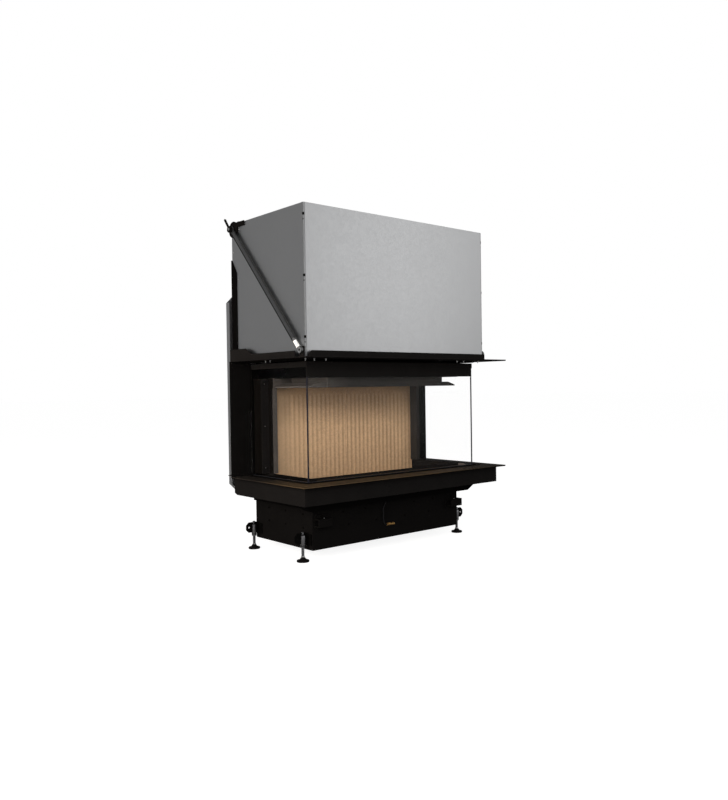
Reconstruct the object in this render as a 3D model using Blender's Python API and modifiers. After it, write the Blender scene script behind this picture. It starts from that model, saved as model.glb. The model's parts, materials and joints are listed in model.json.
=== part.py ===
"""Wood-burning fireplace insert whose three-sided glass door lifts on counterweights.

Metres, +Z up, the front towards -Y. The origin is the centre of the base of the object's box: the
pads of the four levelling feet stand on Z = 0. Depths are measured behind the jacket's front face
and turned into Y by back().
"""
import math

import bmesh
import bpy
from mathutils import Matrix, Vector

# Gaps and sheets
GAP = 0.0003
RUN = 0.0005
OVERRUN = 0.01
STEEL = 0.003
JACKET = 0.0015
ROUND_STEPS = 32

# Base box and its feet
BASE_LIFT = 0.045
BASE_WIDTH = 0.874
BASE_DEPTH = 0.431
BASE_HEIGHT = 0.170
BASE_SETBACK = 0.097
FOOT_REACH = 0.030
FOOT_INSET_FRONT = 0.030
FOOT_INSET_REAR = 0.026
PAD_RADIUS = 0.022
PAD_RIM = 0.005
PAD_HEIGHT = 0.020
PAD_NECK = 0.009
SPINDLE_RADIUS = 0.006
SPINDLE_HEIGHT = 0.124
NUT_RADIUS = 0.010
NUT_HEIGHT = 0.008
NUT_TOP = 0.066
BOSS_RADIUS = 0.011
BOSS_HEIGHT = 0.046
BRACKET_WIDTH = 0.050
BRACKET_SHEET = 0.004
CHEEK_WIDTH = 0.067
CHEEK_CORNER = 0.013
CHEEK_LIFT = 0.008
CHEEK_HOLE_RADIUS = 0.004
CHEEK_HOLE_INSET = 0.015

# Trough, hearth pan and fireclay
TROUGH_INSET = 0.057
TROUGH_SETBACK = 0.055
TROUGH_DEPTH = 0.472
TROUGH_BODY_MARGIN = 0.004
NOSE_DEPTH = 0.042
TROUGH_HEIGHT = 0.118
TROUGH_CHAMFER_WIDTH = 0.044
TROUGH_CHAMFER_HEIGHT = 0.025
PAN_MARGIN = 0.009
PAN_SETBACK = 0.092
PAN_RIM = 0.010
FLOOR_BRICK = 0.030
BRICK_FACE = 0.4055
BRICK = 0.0265
BRICK_TOP = 0.387
BRICK_INSET = 0.0585
BRICK_SEAM = 0.001
FLUTES = 15
FLUTE_DEPTH = 0.005
FLUTE_LAND_SHARE = 0.45
FLUTE_SLOPE_SHARE = 0.15

# Firebox sheets, throat and smoke way
BACK_SHEET = 0.002
RIB_REACH = 0.043
RIB_WIDTH = 0.006
FLANK_STEP = 0.0045
FLANK_REACH = 0.055
DOME_BASE = 0.4294
THROAT_HEIGHT = 0.042
THROAT_INSET = 0.091
THROAT_SETBACK = 0.100
LIP_REACH = 0.094
LIP_HEIGHT = 0.0195
LIP_EDGE = 0.0055
LIP_FLAT = 0.049
LIP_DEPTH = 0.250
LEDGE_REACH = 0.012
BAFFLE_SETBACK = 0.165
BAFFLE = 0.025
DOME_FLANGE_SETBACK = 0.080
DOME_HEIGHT = 0.450
DOME_TOP_WIDTH = 0.300
DOME_TOP_DEPTH = 0.250
COLLAR_RADIUS = 0.100
COLLAR_RISE = 0.041

# Shelf and apron
SHELF_MARGIN = 0.1055
SHELF_OVERHANG = 0.0756
SHELF_STEP = 0.035
APRON_INSET = 0.027
APRON_OVERHANG = 0.040
APRON_HEIGHT = 0.077
APRON_TAIL = 0.020
APRON_NOTCH = 0.008

# Door opening and upper frame
OPENING_HEIGHT = 0.505
FRAME_MARGIN = 0.0965
FRAME_OVERHANG = 0.092
FRAME_TAIL_MARGIN = 0.032
SLOT_CLEARANCE = 0.0125
UPSTAND_OFFSET = 0.017
UPSTAND_INSET = 0.0065
UPSTAND_HEIGHT = 0.0275
UPSTAND_CORNER = 0.012
UPSTAND_START = 0.050
UPSTAND_REAR_HEIGHT = 0.0535
UPSTAND_REAR_LENGTH = 0.130
UPSTAND_SLOPE = 0.047
TAB_LENGTH = 0.028
TAB_SETBACK = 0.019
TAB_HEIGHT = 0.0444
STUD_RADIUS = 0.005

# Jacket
HOOD_MARGIN = 0.0355
HOOD_HEIGHT = 0.614
CORNER_FOLD = 0.013
COVER_SINK = 0.004
BAY_WIDTH = 0.041
NOTCH_DEPTH = 0.026
NOTCH_HEIGHT = 0.036
WARM_RADIUS = 0.075
WARM_SPREAD = 0.660
WARM_SETBACK = 0.280
WARM_RISE = 0.035

# Door
DOOR_WIDTH = 0.989
DOOR_SETBACK = 0.043
DOOR_TRAVEL = 0.450
GLASS = 0.004
GLASS_LIFT = 0.002
BAR_DROP = 0.012
BAR_HEIGHT = 0.023
BAR_DEPTH = 0.016
BAR_PROUD = 0.002
BAR_SHEET = 0.003
RAIL_HEIGHT = 0.040
RAIL_SHEET = 0.004
STILE_WIDTH = 0.035
STILE_SHEET = 0.006
CARRIAGE_SHEET = 0.005
CARRIAGE_HEIGHT = 0.210
CARRIAGE_REACH = 0.048
ROLLER_RADIUS = 0.0115
ROLLER_INSET = 0.030
LUG_REACH = 0.0165
LUG_LENGTH = 0.014
LUG_HEIGHT = 0.020
WING_CLEARANCE = 0.0025
WING_SHEET = 0.002

# Guide rails, uprights, ducts and the lifting gear
GUIDE_CLEARANCE = 0.0065
GUIDE_WIDTH = 0.030
UPRIGHT_LEG = 0.042
UPRIGHT_HEIGHT = 0.963
UPRIGHT_SLOPE = 0.060
UPRIGHT_STANDOFF = 0.0475
DUCT_BOTTOM = 0.266
DUCT_HEIGHT = 0.872
DUCT_WIDTH = 0.108
DUCT_DEPTH = 0.0268
DUCT_CHAMFER = 0.028
DUCT_OUTSTAND = 0.015
WEIGHT_WIDTH = 0.100
WEIGHT_DEPTH = 0.0215
WEIGHT_HEIGHT = 0.366
WEIGHT_LIFT = 0.030
SHAFT_RADIUS = 0.006
SHAFT_DROP = 0.025
SHAFT_OUTSTAND = 0.027
PULLEY_RADIUS = 0.0345
PULLEY_RIM = 0.0065
PULLEY_WIDTH = 0.014
GROOVE_WIDTH = 0.006
CABLE_RADIUS = 0.002
LIFT_OUTSTAND = 0.0055
PLATE_RADIUS = 0.036
PLATE_STRIP = 0.090
PLATE_STRIP_HEIGHT = 0.018
LEVER_LENGTH = 0.062
LEVER_WIDTH = 0.007
LEVER_ANGLE = math.radians(52)
HUB_RADIUS = 0.015
HUB_WIDTH = 0.008
TIE_WIDTH = 0.022
TIE_SHEET = 0.008
TIE_EYE = 0.015
ROD_LENGTH = 0.048
ROD_RADIUS = 0.006

# Carrier sockets, air control and air inlet
SOCKET_PLATE_WIDTH = 0.070
SOCKET_PLATE_HEIGHT = 0.062
SOCKET_INSET = 0.012
SOCKET_LIFT = 0.086
SOCKET_TUBE = 0.034
SOCKET_WALL = 0.004
SOCKET_OUTSTAND = -0.005
SOCKET_LENGTH = 0.071
CLAMP_LENGTH = 0.046
CLAMP_HEIGHT = 0.014
CLAMP_DEPTH = 0.012
CLAMP_LIFT = 0.053
CONTROL_RADIUS = 0.0022
CONTROL_OFFSET = -0.035
CONTROL_BULGE = 0.013
CONTROL_DIP = 0.012
INLET_RADIUS = 0.060
INLET_LENGTH = 0.092
INLET_LIFT = 0.085
FLAP_CLEARANCE = 0.001
FLAP_SHEET = 0.002
FLAP_SETBACK = 0.032
FLAP_SHAFT_RADIUS = 0.004
CRANK_LENGTH = 0.030
CRANK_WIDTH = 0.010

# Widths worked out from the door's
HOOD_WIDTH = DOOR_WIDTH + 2 * HOOD_MARGIN
FRAME_WIDTH = DOOR_WIDTH + 2 * FRAME_MARGIN
FRAME_TAIL_WIDTH = HOOD_WIDTH + 2 * FRAME_TAIL_MARGIN
UPSTAND_WIDTH = HOOD_WIDTH - 2 * UPSTAND_INSET
SHELF_WIDTH = DOOR_WIDTH + 2 * SHELF_MARGIN
SHELF_REAR_WIDTH = SHELF_WIDTH - 2 * SHELF_STEP
APRON_WIDTH = SHELF_WIDTH - 2 * APRON_INSET
TROUGH_WIDTH = APRON_WIDTH - 2 * TROUGH_INSET
BRICK_SPAN = DOOR_WIDTH - 2 * BRICK_INSET
PAN_WIDTH = BRICK_SPAN + 2 * PAN_MARGIN
TROUGH_BODY_WIDTH = PAN_WIDTH + 2 * TROUGH_BODY_MARGIN
THROAT_WIDTH = BRICK_SPAN - 2 * THROAT_INSET
DOME_FLANGE_WIDTH = BRICK_SPAN
DOME_WIDTH = THROAT_WIDTH + STEEL

# Heights worked out from the sizes above
BASE_TOP = BASE_LIFT + BASE_HEIGHT
TROUGH_BOTTOM = BASE_TOP + GAP
TROUGH_TOP = TROUGH_BOTTOM + TROUGH_HEIGHT
SHELF_BOTTOM = TROUGH_TOP + GAP
SHELF_TOP = SHELF_BOTTOM + STEEL
PAN_BOTTOM = TROUGH_BOTTOM + STEEL + GAP
PAN_TOP = SHELF_TOP + PAN_RIM
FLOOR_BOTTOM = PAN_BOTTOM + STEEL + GAP
FLOOR_TOP = FLOOR_BOTTOM + FLOOR_BRICK
BRICKS_TOP = SHELF_TOP + BRICK_TOP
DOME_BOTTOM = SHELF_TOP + DOME_BASE
DOME_TOP = DOME_BOTTOM + DOME_HEIGHT
FRAME_BOTTOM = SHELF_TOP + OPENING_HEIGHT
FRAME_TOP = FRAME_BOTTOM + STEEL
HOOD_BOTTOM = FRAME_TOP + GAP
HOOD_TOP = HOOD_BOTTOM + HOOD_HEIGHT
COVER_TOP = HOOD_TOP - COVER_SINK
COVER_BOTTOM = COVER_TOP - JACKET
BAR_TOP = FRAME_BOTTOM - BAR_DROP
BAR_BOTTOM = BAR_TOP - BAR_HEIGHT
GLASS_BOTTOM = SHELF_TOP + GLASS_LIFT
SHAFT_HEIGHT = HOOD_TOP - SHAFT_DROP
DUCT_TOP = DUCT_BOTTOM + DUCT_HEIGHT
WEIGHT_BOTTOM = DUCT_BOTTOM + WEIGHT_LIFT + DOOR_TRAVEL
WEIGHT_TOP = WEIGHT_BOTTOM + WEIGHT_HEIGHT
BRACKET_BOTTOM = NUT_TOP + GAP
BRACKET_TOP = BRACKET_BOTTOM + BOSS_HEIGHT
INLET_HEIGHT = BASE_LIFT + INLET_LIFT

# Depths behind the jacket's front face
BASE_REAR = BASE_SETBACK + BASE_DEPTH
BRICK_REAR = BRICK_FACE + BRICK
BACK_PLANE = BRICK_REAR + GAP + BACK_SHEET / 2
BACK_REAR = BACK_PLANE + BACK_SHEET / 2
RIB_PLANE = BACK_PLANE - GAP - RIB_REACH - BRICK
SHOULDER_PLANE = RIB_PLANE - BACK_SHEET / 2 - GAP - STEEL / 2
PAN_REAR = BACK_REAR + GAP
FLANK_PLANE = BRICK_FACE - FLANK_STEP
FLANK_REAR = FLANK_PLANE + FLANK_REACH
GLASS_REAR = FLANK_REAR + BACK_SHEET / 2
STILE_FRONT = GLASS_REAR + GAP
STILE_REAR = STILE_FRONT + STILE_SHEET
WING_FRONT = STILE_REAR + GAP + WING_CLEARANCE
WING_REAR = WING_FRONT + WING_SHEET
SHELF_SIDE_REAR = WING_FRONT - GAP
GUIDE_FRONT = STILE_REAR + GUIDE_CLEARANCE
GUIDE_CENTRE = GUIDE_FRONT + GUIDE_WIDTH / 2
GUIDE_REAR = GUIDE_FRONT + GUIDE_WIDTH
UPRIGHT_REAR = GUIDE_REAR + UPRIGHT_STANDOFF + STEEL + STEEL
UPRIGHT_FRONT = UPRIGHT_REAR - UPRIGHT_LEG
PANEL_REAR = UPRIGHT_REAR - STEEL - GAP - JACKET
SHELF_REAR = UPRIGHT_REAR
DUCT_FRONT = UPRIGHT_REAR + GAP
DUCT_CENTRE = DUCT_FRONT + DUCT_DEPTH / 2
PULLEY_LINE = PULLEY_RADIUS + RUN + CABLE_RADIUS
SHAFT_DEPTH = DUCT_CENTRE - PULLEY_LINE
FRAME_TAIL_REAR = UPRIGHT_FRONT - RUN
INLET_REAR = BASE_REAR + GAP + INLET_LENGTH
FRONT_Y = (FRAME_OVERHANG - INLET_REAR) / 2

# Half widths
DOOR_SIDE = DOOR_WIDTH / 2
BAR_SIDE = DOOR_SIDE + BAR_PROUD
LIFT_LINE = DOOR_SIDE + LIFT_OUTSTAND
SLOT_SIDE = max(BAR_SIDE, LIFT_LINE + LUG_REACH / 2) + SLOT_CLEARANCE / 3
SLOT_FRONT = DOOR_SETBACK - BAR_PROUD - SLOT_CLEARANCE
HOOD_SIDE = HOOD_WIDTH / 2
PANEL_SIDE = HOOD_SIDE - JACKET - GAP
UPRIGHT_SIDE = PANEL_SIDE + GAP
COVER_SIDE = PANEL_SIDE - JACKET - GAP
BAY_SIDE = HOOD_SIDE - BAY_WIDTH
PAN_SIDE = PAN_WIDTH / 2
RIB_INNER = BRICK_SPAN / 2 + GAP + BACK_SHEET / 2
RIB_OUTER = RIB_INNER + RIB_WIDTH
WING_SIDE = DOOR_SIDE + WING_CLEARANCE
PLATE_SIDE = PANEL_SIDE + GAP
TAB_SIDE = HOOD_SIDE + ROD_RADIUS
TIE_SIDE = TAB_SIDE + ROD_RADIUS - TIE_SHEET / 2 + RUN
LEVER_SIDE = TIE_SIDE + TIE_SHEET + RUN
SIDES = {"left": -1, "right": 1}

# Where the tie bars' studs stand: depth behind the jacket's front face, and height
TIE_FOOT = (TAB_SETBACK, FRAME_TOP + TAB_HEIGHT - TIE_EYE)


def back(depth):
    """The Y of a depth behind the jacket's front face."""
    return FRONT_Y + depth


def clear_scene():
    for item in list(bpy.data.objects):
        bpy.data.objects.remove(item, do_unlink=True)


def make_collection(name):
    made = bpy.data.collections.new(name)
    bpy.context.scene.collection.children.link(made)
    return made


def make_material(name, colour, roughness, metallic):
    """A plain finish in the piece's own colour."""
    made = bpy.data.materials.new(name)
    made.use_nodes = True
    shader = made.node_tree.nodes["Principled BSDF"]
    shader.inputs["Base Color"].default_value = (*colour, 1)
    shader.inputs["Roughness"].default_value = roughness
    shader.inputs["Metallic"].default_value = metallic
    return made


def place_object(name, mesh, material, tool=False):
    """Link a mesh as a part, or as a tool that only cuts or joins one."""
    made = bpy.data.objects.new(name, mesh)
    if tool:
        TOOLS.objects.link(made)
        made.hide_render = True
        made.display_type = "WIRE"
    else:
        PARTS.objects.link(made)
        mesh.materials.append(MATERIALS[material])
    return made


def box(name, low, high, material=None, tool=False):
    """A box between two corners, about its own centre."""
    low = Vector(low)
    high = Vector(high)
    mesh = bpy.data.meshes.new(name)
    form = bmesh.new()
    bmesh.ops.create_cube(form, size=1, matrix=Matrix.Diagonal((*(high - low), 1)))
    form.to_mesh(mesh)
    form.free()
    made = place_object(name, mesh, material, tool)
    made.location = (low + high) / 2
    return made


PLANE_TURNS = {
    "XY": (0, 0, 0),
    "XZ": (math.pi / 2, 0, 0),
    "YZ": (math.pi / 2, 0, math.pi / 2),
}
PLANE_NORMALS = {
    "XY": Vector((0, 0, 1)),
    "XZ": Vector((0, 1, 0)),
    "YZ": Vector((1, 0, 0)),
}


def slab(name, outline, low, high, plane, material=None, holes=(), tool=False):
    """A flat outline in a plane, filled and thickened between two levels along its normal."""
    drawing = bpy.data.curves.new(name, "CURVE")
    drawing.dimensions = "2D"
    drawing.fill_mode = "BOTH"
    drawing.extrude = (high - low) / 2
    for loop in (outline, *holes):
        spline = drawing.splines.new("POLY")
        spline.points.add(len(loop) - 1)
        spline.use_cyclic_u = True
        for point, (across, along) in zip(spline.points, loop):
            point.co = (across, along, 0, 1)
    sketch = bpy.data.objects.new(name, drawing)
    sketch.rotation_euler = PLANE_TURNS[plane]
    sketch.location = PLANE_NORMALS[plane] * (low + high) / 2
    TOOLS.objects.link(sketch)
    made = place_object(name, mesh_of(sketch), material, tool)
    made.name = name
    return made


def mesh_of(sketch):
    """Weld a curve's evaluated shape into a closed mesh, place it, and drop the curve."""
    bpy.context.view_layer.update()
    graph = bpy.context.evaluated_depsgraph_get()
    mesh = bpy.data.meshes.new_from_object(sketch.evaluated_get(graph))
    form = bmesh.new()
    form.from_mesh(mesh)
    bmesh.ops.remove_doubles(form, verts=form.verts, dist=GAP / 10)
    bmesh.ops.recalc_face_normals(form, faces=form.faces)
    form.transform(sketch.matrix_world)
    form.to_mesh(mesh)
    form.free()
    bpy.data.objects.remove(sketch, do_unlink=True)
    return mesh


def folded(name, path, low, high, plane, thickness, material=None, tool=False):
    """Sheet metal folded along a path in a plane, as wide as two levels along its normal."""
    mesh = bpy.data.meshes.new(name)
    form = bmesh.new()
    start, width = (low, high - low) if plane != "XZ" else (-low, low - high)
    corners = [form.verts.new((across, along, start)) for across, along in path]
    lines = [form.edges.new(pair) for pair in zip(corners, corners[1:])]
    swept = bmesh.ops.extrude_edge_only(form, edges=lines)["geom"]
    moved = [item for item in swept if isinstance(item, bmesh.types.BMVert)]
    bmesh.ops.translate(form, verts=moved, vec=(0, 0, width))
    form.to_mesh(mesh)
    form.free()
    made = place_object(name, mesh, material, tool)
    made.rotation_euler = PLANE_TURNS[plane]
    wall = made.modifiers.new("wall", "SOLIDIFY")
    wall.thickness = thickness
    wall.offset = 0
    wall.use_even_offset = True
    return made


AXIS_TURNS = {
    "X": (0, math.pi / 2, 0),
    "Y": (-math.pi / 2, 0, 0),
    "Z": (0, 0, 0),
}


def turned(name, profile, place, axis, material=None, closed=False, tool=False):
    """A profile of (radius, height) points turned about an axis through a place."""
    mesh = bpy.data.meshes.new(name)
    count = len(profile)
    points = [(radius, 0, height) for radius, height in profile]
    lines = [(index, index + 1) for index in range(count - 1)]
    if closed:
        lines.append((count - 1, 0))
    mesh.from_pydata(points, lines, [])
    made = place_object(name, mesh, material, tool)
    made.location = place
    made.rotation_euler = AXIS_TURNS[axis]
    turn = made.modifiers.new("turn", "SCREW")
    turn.steps = ROUND_STEPS
    turn.render_steps = ROUND_STEPS
    turn.use_merge_vertices = True
    turn.merge_threshold = GAP / 10
    turn.use_smooth_shade = True
    return made


def rod(name, radius, low, high, place, axis, material=None, tool=False):
    """A solid cylinder about an axis, between two heights along it."""
    profile = [(0, high), (radius, high), (radius, low), (0, low)]
    return turned(name, profile, place, axis, material, tool=tool)


def ring(name, outer, inner, low, high, place, axis, material=None, tool=False):
    """A tube about an axis, between two heights along it."""
    profile = [(outer, high), (outer, low), (inner, low), (inner, high)]
    return turned(name, profile, place, axis, material, closed=True, tool=tool)


def combine(part, tool, operation):
    """Cut a tool from a part, or join it to the part."""
    step = part.modifiers.new(tool.name, "BOOLEAN")
    step.operation = operation
    step.object = tool
    step.solver = "EXACT"
    return part


def cut(part, tool):
    return combine(part, tool, "DIFFERENCE")


def join(part, tool):
    return combine(part, tool, "UNION")


def circle(across, along, radius, steps=ROUND_STEPS):
    """Points round a circle in a plane."""
    turns = [2 * math.pi * index / steps for index in range(steps)]
    return [(across + radius * math.cos(turn), along + radius * math.sin(turn)) for turn in turns]


def arc(across, along, radius, start, end, steps=ROUND_STEPS):
    """Points along part of a circle in a plane, both ends included."""
    turns = [start + (end - start) * index / steps for index in range(steps + 1)]
    return [(across + radius * math.cos(turn), along + radius * math.sin(turn)) for turn in turns]


def keyhole(centre, tip, radius, width):
    """A circle about a centre, drawn out into a straight bar that ends square at its tip."""
    run = (tip - centre).normalized()
    edge = Vector((-run.y, run.x)) * width / 2
    heading = math.atan2(run.y, run.x)
    spread = math.asin(width / 2 / radius)
    loop = arc(
        centre.x,
        centre.y,
        radius,
        heading + spread,
        heading + 2 * math.pi - spread,
    )
    return loop + [tuple(tip - edge), tuple(tip + edge)]


def rectangle(low_across, low_along, high_across, high_along):
    return [
        (low_across, low_along),
        (high_across, low_along),
        (high_across, high_along),
        (low_across, high_along),
    ]


def tube(name, route, radius, material):
    """A smooth cable through the points of its route."""
    drawing = bpy.data.curves.new(name, "CURVE")
    drawing.dimensions = "3D"
    drawing.bevel_depth = radius
    drawing.bevel_resolution = 2
    drawing.use_fill_caps = True
    spline = drawing.splines.new("POLY")
    spline.points.add(len(route) - 1)
    for point, place in zip(spline.points, route):
        point.co = (*place, 1)
    sketch = bpy.data.objects.new(name, drawing)
    TOOLS.objects.link(sketch)
    return place_object(name, mesh_of(sketch), material)


def make_base_box():
    """The open-topped base box, with the air inlet's hole in its rear wall."""
    side = BASE_WIDTH / 2
    body = box(
        "base_box",
        (-side, back(BASE_SETBACK), BASE_LIFT),
        (side, back(BASE_REAR), BASE_TOP),
        "black_paint",
    )
    inside = box(
        "base_inside",
        (-side + STEEL, back(BASE_SETBACK + STEEL), BASE_LIFT + STEEL),
        (side - STEEL, back(BASE_REAR - STEEL), BASE_TOP + OVERRUN),
        tool=True,
    )
    mouth = rod(
        "base_mouth",
        INLET_RADIUS - JACKET,
        -STEEL - OVERRUN,
        OVERRUN,
        (0, back(BASE_REAR), INLET_HEIGHT),
        "Y",
        tool=True,
    )
    cut(cut(body, inside), mouth)


def make_trough():
    """The tray under the shelf that holds the hearth pan, with a wide nose chamfered at its ends."""
    half = TROUGH_WIDTH / 2
    narrow = half - TROUGH_CHAMFER_WIDTH
    shoulder = TROUGH_BOTTOM + TROUGH_CHAMFER_HEIGHT
    side = TROUGH_BODY_WIDTH / 2

    def profile(wall, top):
        return [
            (-half + wall, top),
            (-half + wall, shoulder + wall),
            (-narrow + wall, TROUGH_BOTTOM + wall),
            (narrow - wall, TROUGH_BOTTOM + wall),
            (half - wall, shoulder + wall),
            (half - wall, top),
        ]

    front = back(TROUGH_SETBACK)
    rear = back(TROUGH_SETBACK + TROUGH_DEPTH)
    nose = back(TROUGH_SETBACK + NOSE_DEPTH)
    trough = slab("trough", profile(0, TROUGH_TOP), front, nose, "XZ", "black_paint")
    body = box(
        "trough_body",
        (-side, nose - STEEL, TROUGH_BOTTOM),
        (side, rear, TROUGH_TOP),
        tool=True,
    )
    nose_inside = slab(
        "trough_nose_inside",
        profile(STEEL, TROUGH_TOP + OVERRUN),
        front + STEEL,
        nose - STEEL,
        "XZ",
        tool=True,
    )
    body_inside = box(
        "trough_body_inside",
        (-side + STEEL, nose - STEEL - STEEL, TROUGH_BOTTOM + STEEL),
        (side - STEEL, rear - STEEL, TROUGH_TOP + OVERRUN),
        tool=True,
    )
    cut(cut(join(trough, body), nose_inside), body_inside)


def make_hearth_pan():
    """The inner tray whose rim stands up through the shelf round the fire."""
    body = box(
        "hearth_pan",
        (-PAN_SIDE, back(PAN_SETBACK), PAN_BOTTOM),
        (PAN_SIDE, back(PAN_REAR), PAN_TOP),
        "black_paint",
    )
    inside = box(
        "pan_inside",
        (-PAN_SIDE + STEEL, back(PAN_SETBACK + STEEL), PAN_BOTTOM + STEEL),
        (PAN_SIDE - STEEL, back(BRICK_REAR + GAP), PAN_TOP + OVERRUN),
        tool=True,
    )
    cut(body, inside)


def make_fireclay():
    """The floor slab and the two fluted halves of the back wall, which stand on it."""
    half = PAN_SIDE - STEEL - GAP
    box(
        "fireclay_floor",
        (-half, back(PAN_SETBACK + STEEL + GAP), FLOOR_BOTTOM),
        (half, back(BRICK_REAR), FLOOR_TOP),
        "fireclay",
    )
    width = BRICK_SPAN / 2 - BRICK_SEAM / 2
    pitch = width / FLUTES
    for side, sign in SIDES.items():
        inner = sign * BRICK_SEAM / 2
        outline = [(inner, back(BRICK_REAR)), (inner, back(BRICK_FACE))]
        for index in range(FLUTES):
            start = index * pitch
            for share, sunk in (
                (FLUTE_LAND_SHARE, 0),
                (FLUTE_LAND_SHARE + FLUTE_SLOPE_SHARE, FLUTE_DEPTH),
                (1 - FLUTE_SLOPE_SHARE, FLUTE_DEPTH),
                (1, 0),
            ):
                across = inner + sign * (start + share * pitch)
                outline.append((across, back(BRICK_FACE + sunk)))
        outline.append((inner + sign * width, back(BRICK_REAR)))
        slab(
            "fireclay_back_" + side,
            outline,
            FLOOR_TOP + GAP,
            BRICKS_TOP,
            "XY",
            "fireclay",
        )


def make_firebox_back():
    """One sheet folded in plan: flank, rib forward, back wall, rib and flank."""
    edge = DOOR_SIDE - GLASS - BACK_SHEET - WING_CLEARANCE - WING_CLEARANCE
    right = [
        (RIB_INNER, back(BACK_PLANE)),
        (RIB_INNER, back(RIB_PLANE)),
        (RIB_OUTER, back(RIB_PLANE)),
        (RIB_OUTER, back(FLANK_PLANE)),
        (edge, back(FLANK_PLANE)),
        (edge, back(FLANK_REAR)),
    ]
    left = [(-across, along) for across, along in reversed(right)]
    folded(
        "firebox_back",
        left + right,
        PAN_TOP + GAP,
        DOME_BOTTOM - GAP,
        "XY",
        BACK_SHEET,
        "black_paint",
    )


def make_throat():
    """The skirt under the dome with its shoulders before the ribs, its lips, and the baffle."""
    half = THROAT_WIDTH / 2
    shoulder = RIB_OUTER + BACK_SHEET / 2
    top = DOME_BOTTOM - GAP
    bottom = top - THROAT_HEIGHT
    path = [
        (-shoulder, back(SHOULDER_PLANE)),
        (-half, back(SHOULDER_PLANE)),
        (-half, back(THROAT_SETBACK)),
        (half, back(THROAT_SETBACK)),
        (half, back(SHOULDER_PLANE)),
        (shoulder, back(SHOULDER_PLANE)),
    ]
    skirt = folded("throat_frame", path, bottom, top, "XY", STEEL, "heat_grey")
    for side, sign in SIDES.items():
        lip = slab(
            "throat_lip_" + side,
            [
                (sign * (half - LEDGE_REACH), bottom),
                (sign * (half + LIP_REACH), bottom),
                (sign * (half + LIP_REACH), bottom + LIP_EDGE),
                (sign * (half + LIP_FLAT), bottom + LIP_HEIGHT),
                (sign * half, bottom + LIP_HEIGHT),
                (sign * half, bottom + STEEL),
                (sign * (half - LEDGE_REACH), bottom + STEEL),
            ],
            back(THROAT_SETBACK + STEEL),
            back(THROAT_SETBACK + STEEL + LIP_DEPTH),
            "XZ",
            tool=True,
        )
        join(skirt, lip)
    inner = half - STEEL / 2 - GAP
    seat = bottom + STEEL + GAP
    box(
        "smoke_baffle",
        (-inner, back(BAFFLE_SETBACK), seat),
        (inner, back(BRICK_REAR), seat + BAFFLE),
        "vermiculite",
    )


def hopper(name, centre, taper, wall, low, high, material=None, tool=False):
    """A four-sided hopper between two heights, whose sizes there come from its taper."""
    mesh = bpy.data.meshes.new(name)
    form = bmesh.new()
    rows = []
    for level in (low, high):
        across, along = taper(level)
        across -= wall
        along -= wall
        corners = ((-across, -along), (across, -along), (across, along), (-across, along))
        rows.append([form.verts.new((x, centre + y, level)) for x, y in corners])
    lower, upper = rows
    form.faces.new(reversed(lower))
    form.faces.new(upper)
    for index in range(4):
        after = (index + 1) % 4
        form.faces.new((lower[index], lower[after], upper[after], upper[index]))
    form.to_mesh(mesh)
    form.free()
    return place_object(name, mesh, material, tool)


def make_dome():
    """The smoke dome: a flange, four sloping walls and a flat top with the collar's hole."""
    flange_half = DOME_FLANGE_WIDTH / 2
    foot_half = DOME_WIDTH / 2
    foot_front = THROAT_SETBACK - STEEL / 2
    foot_depth = BACK_REAR - foot_front
    centre = back(foot_front + foot_depth / 2)

    def taper(level):
        """The dome's half width and half depth at a height."""
        share = (level - DOME_BOTTOM) / DOME_HEIGHT
        across = DOME_WIDTH + share * (DOME_TOP_WIDTH - DOME_WIDTH)
        along = foot_depth + share * (DOME_TOP_DEPTH - foot_depth)
        return across / 2, along / 2

    dome = hopper("flue_dome", centre, taper, 0, DOME_BOTTOM, DOME_TOP, "heat_grey")
    inside = hopper(
        "dome_inside",
        centre,
        taper,
        STEEL,
        DOME_BOTTOM - OVERRUN,
        DOME_TOP - STEEL,
        tool=True,
    )
    flange = slab(
        "dome_flange",
        rectangle(-flange_half, back(DOME_FLANGE_SETBACK), flange_half, back(BACK_REAR)),
        DOME_BOTTOM,
        DOME_BOTTOM + STEEL,
        "XY",
        tool=True,
    )
    hole = rod(
        "dome_hole",
        COLLAR_RADIUS - STEEL,
        -OVERRUN,
        OVERRUN,
        (0, centre, DOME_TOP),
        "Z",
        tool=True,
    )
    cut(cut(join(dome, flange), inside), hole)
    ring(
        "flue_collar",
        COLLAR_RADIUS,
        COLLAR_RADIUS - STEEL,
        DOME_TOP + GAP,
        HOOD_TOP + COLLAR_RISE,
        (0, centre, 0),
        "Z",
        "black_paint",
    )


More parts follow.
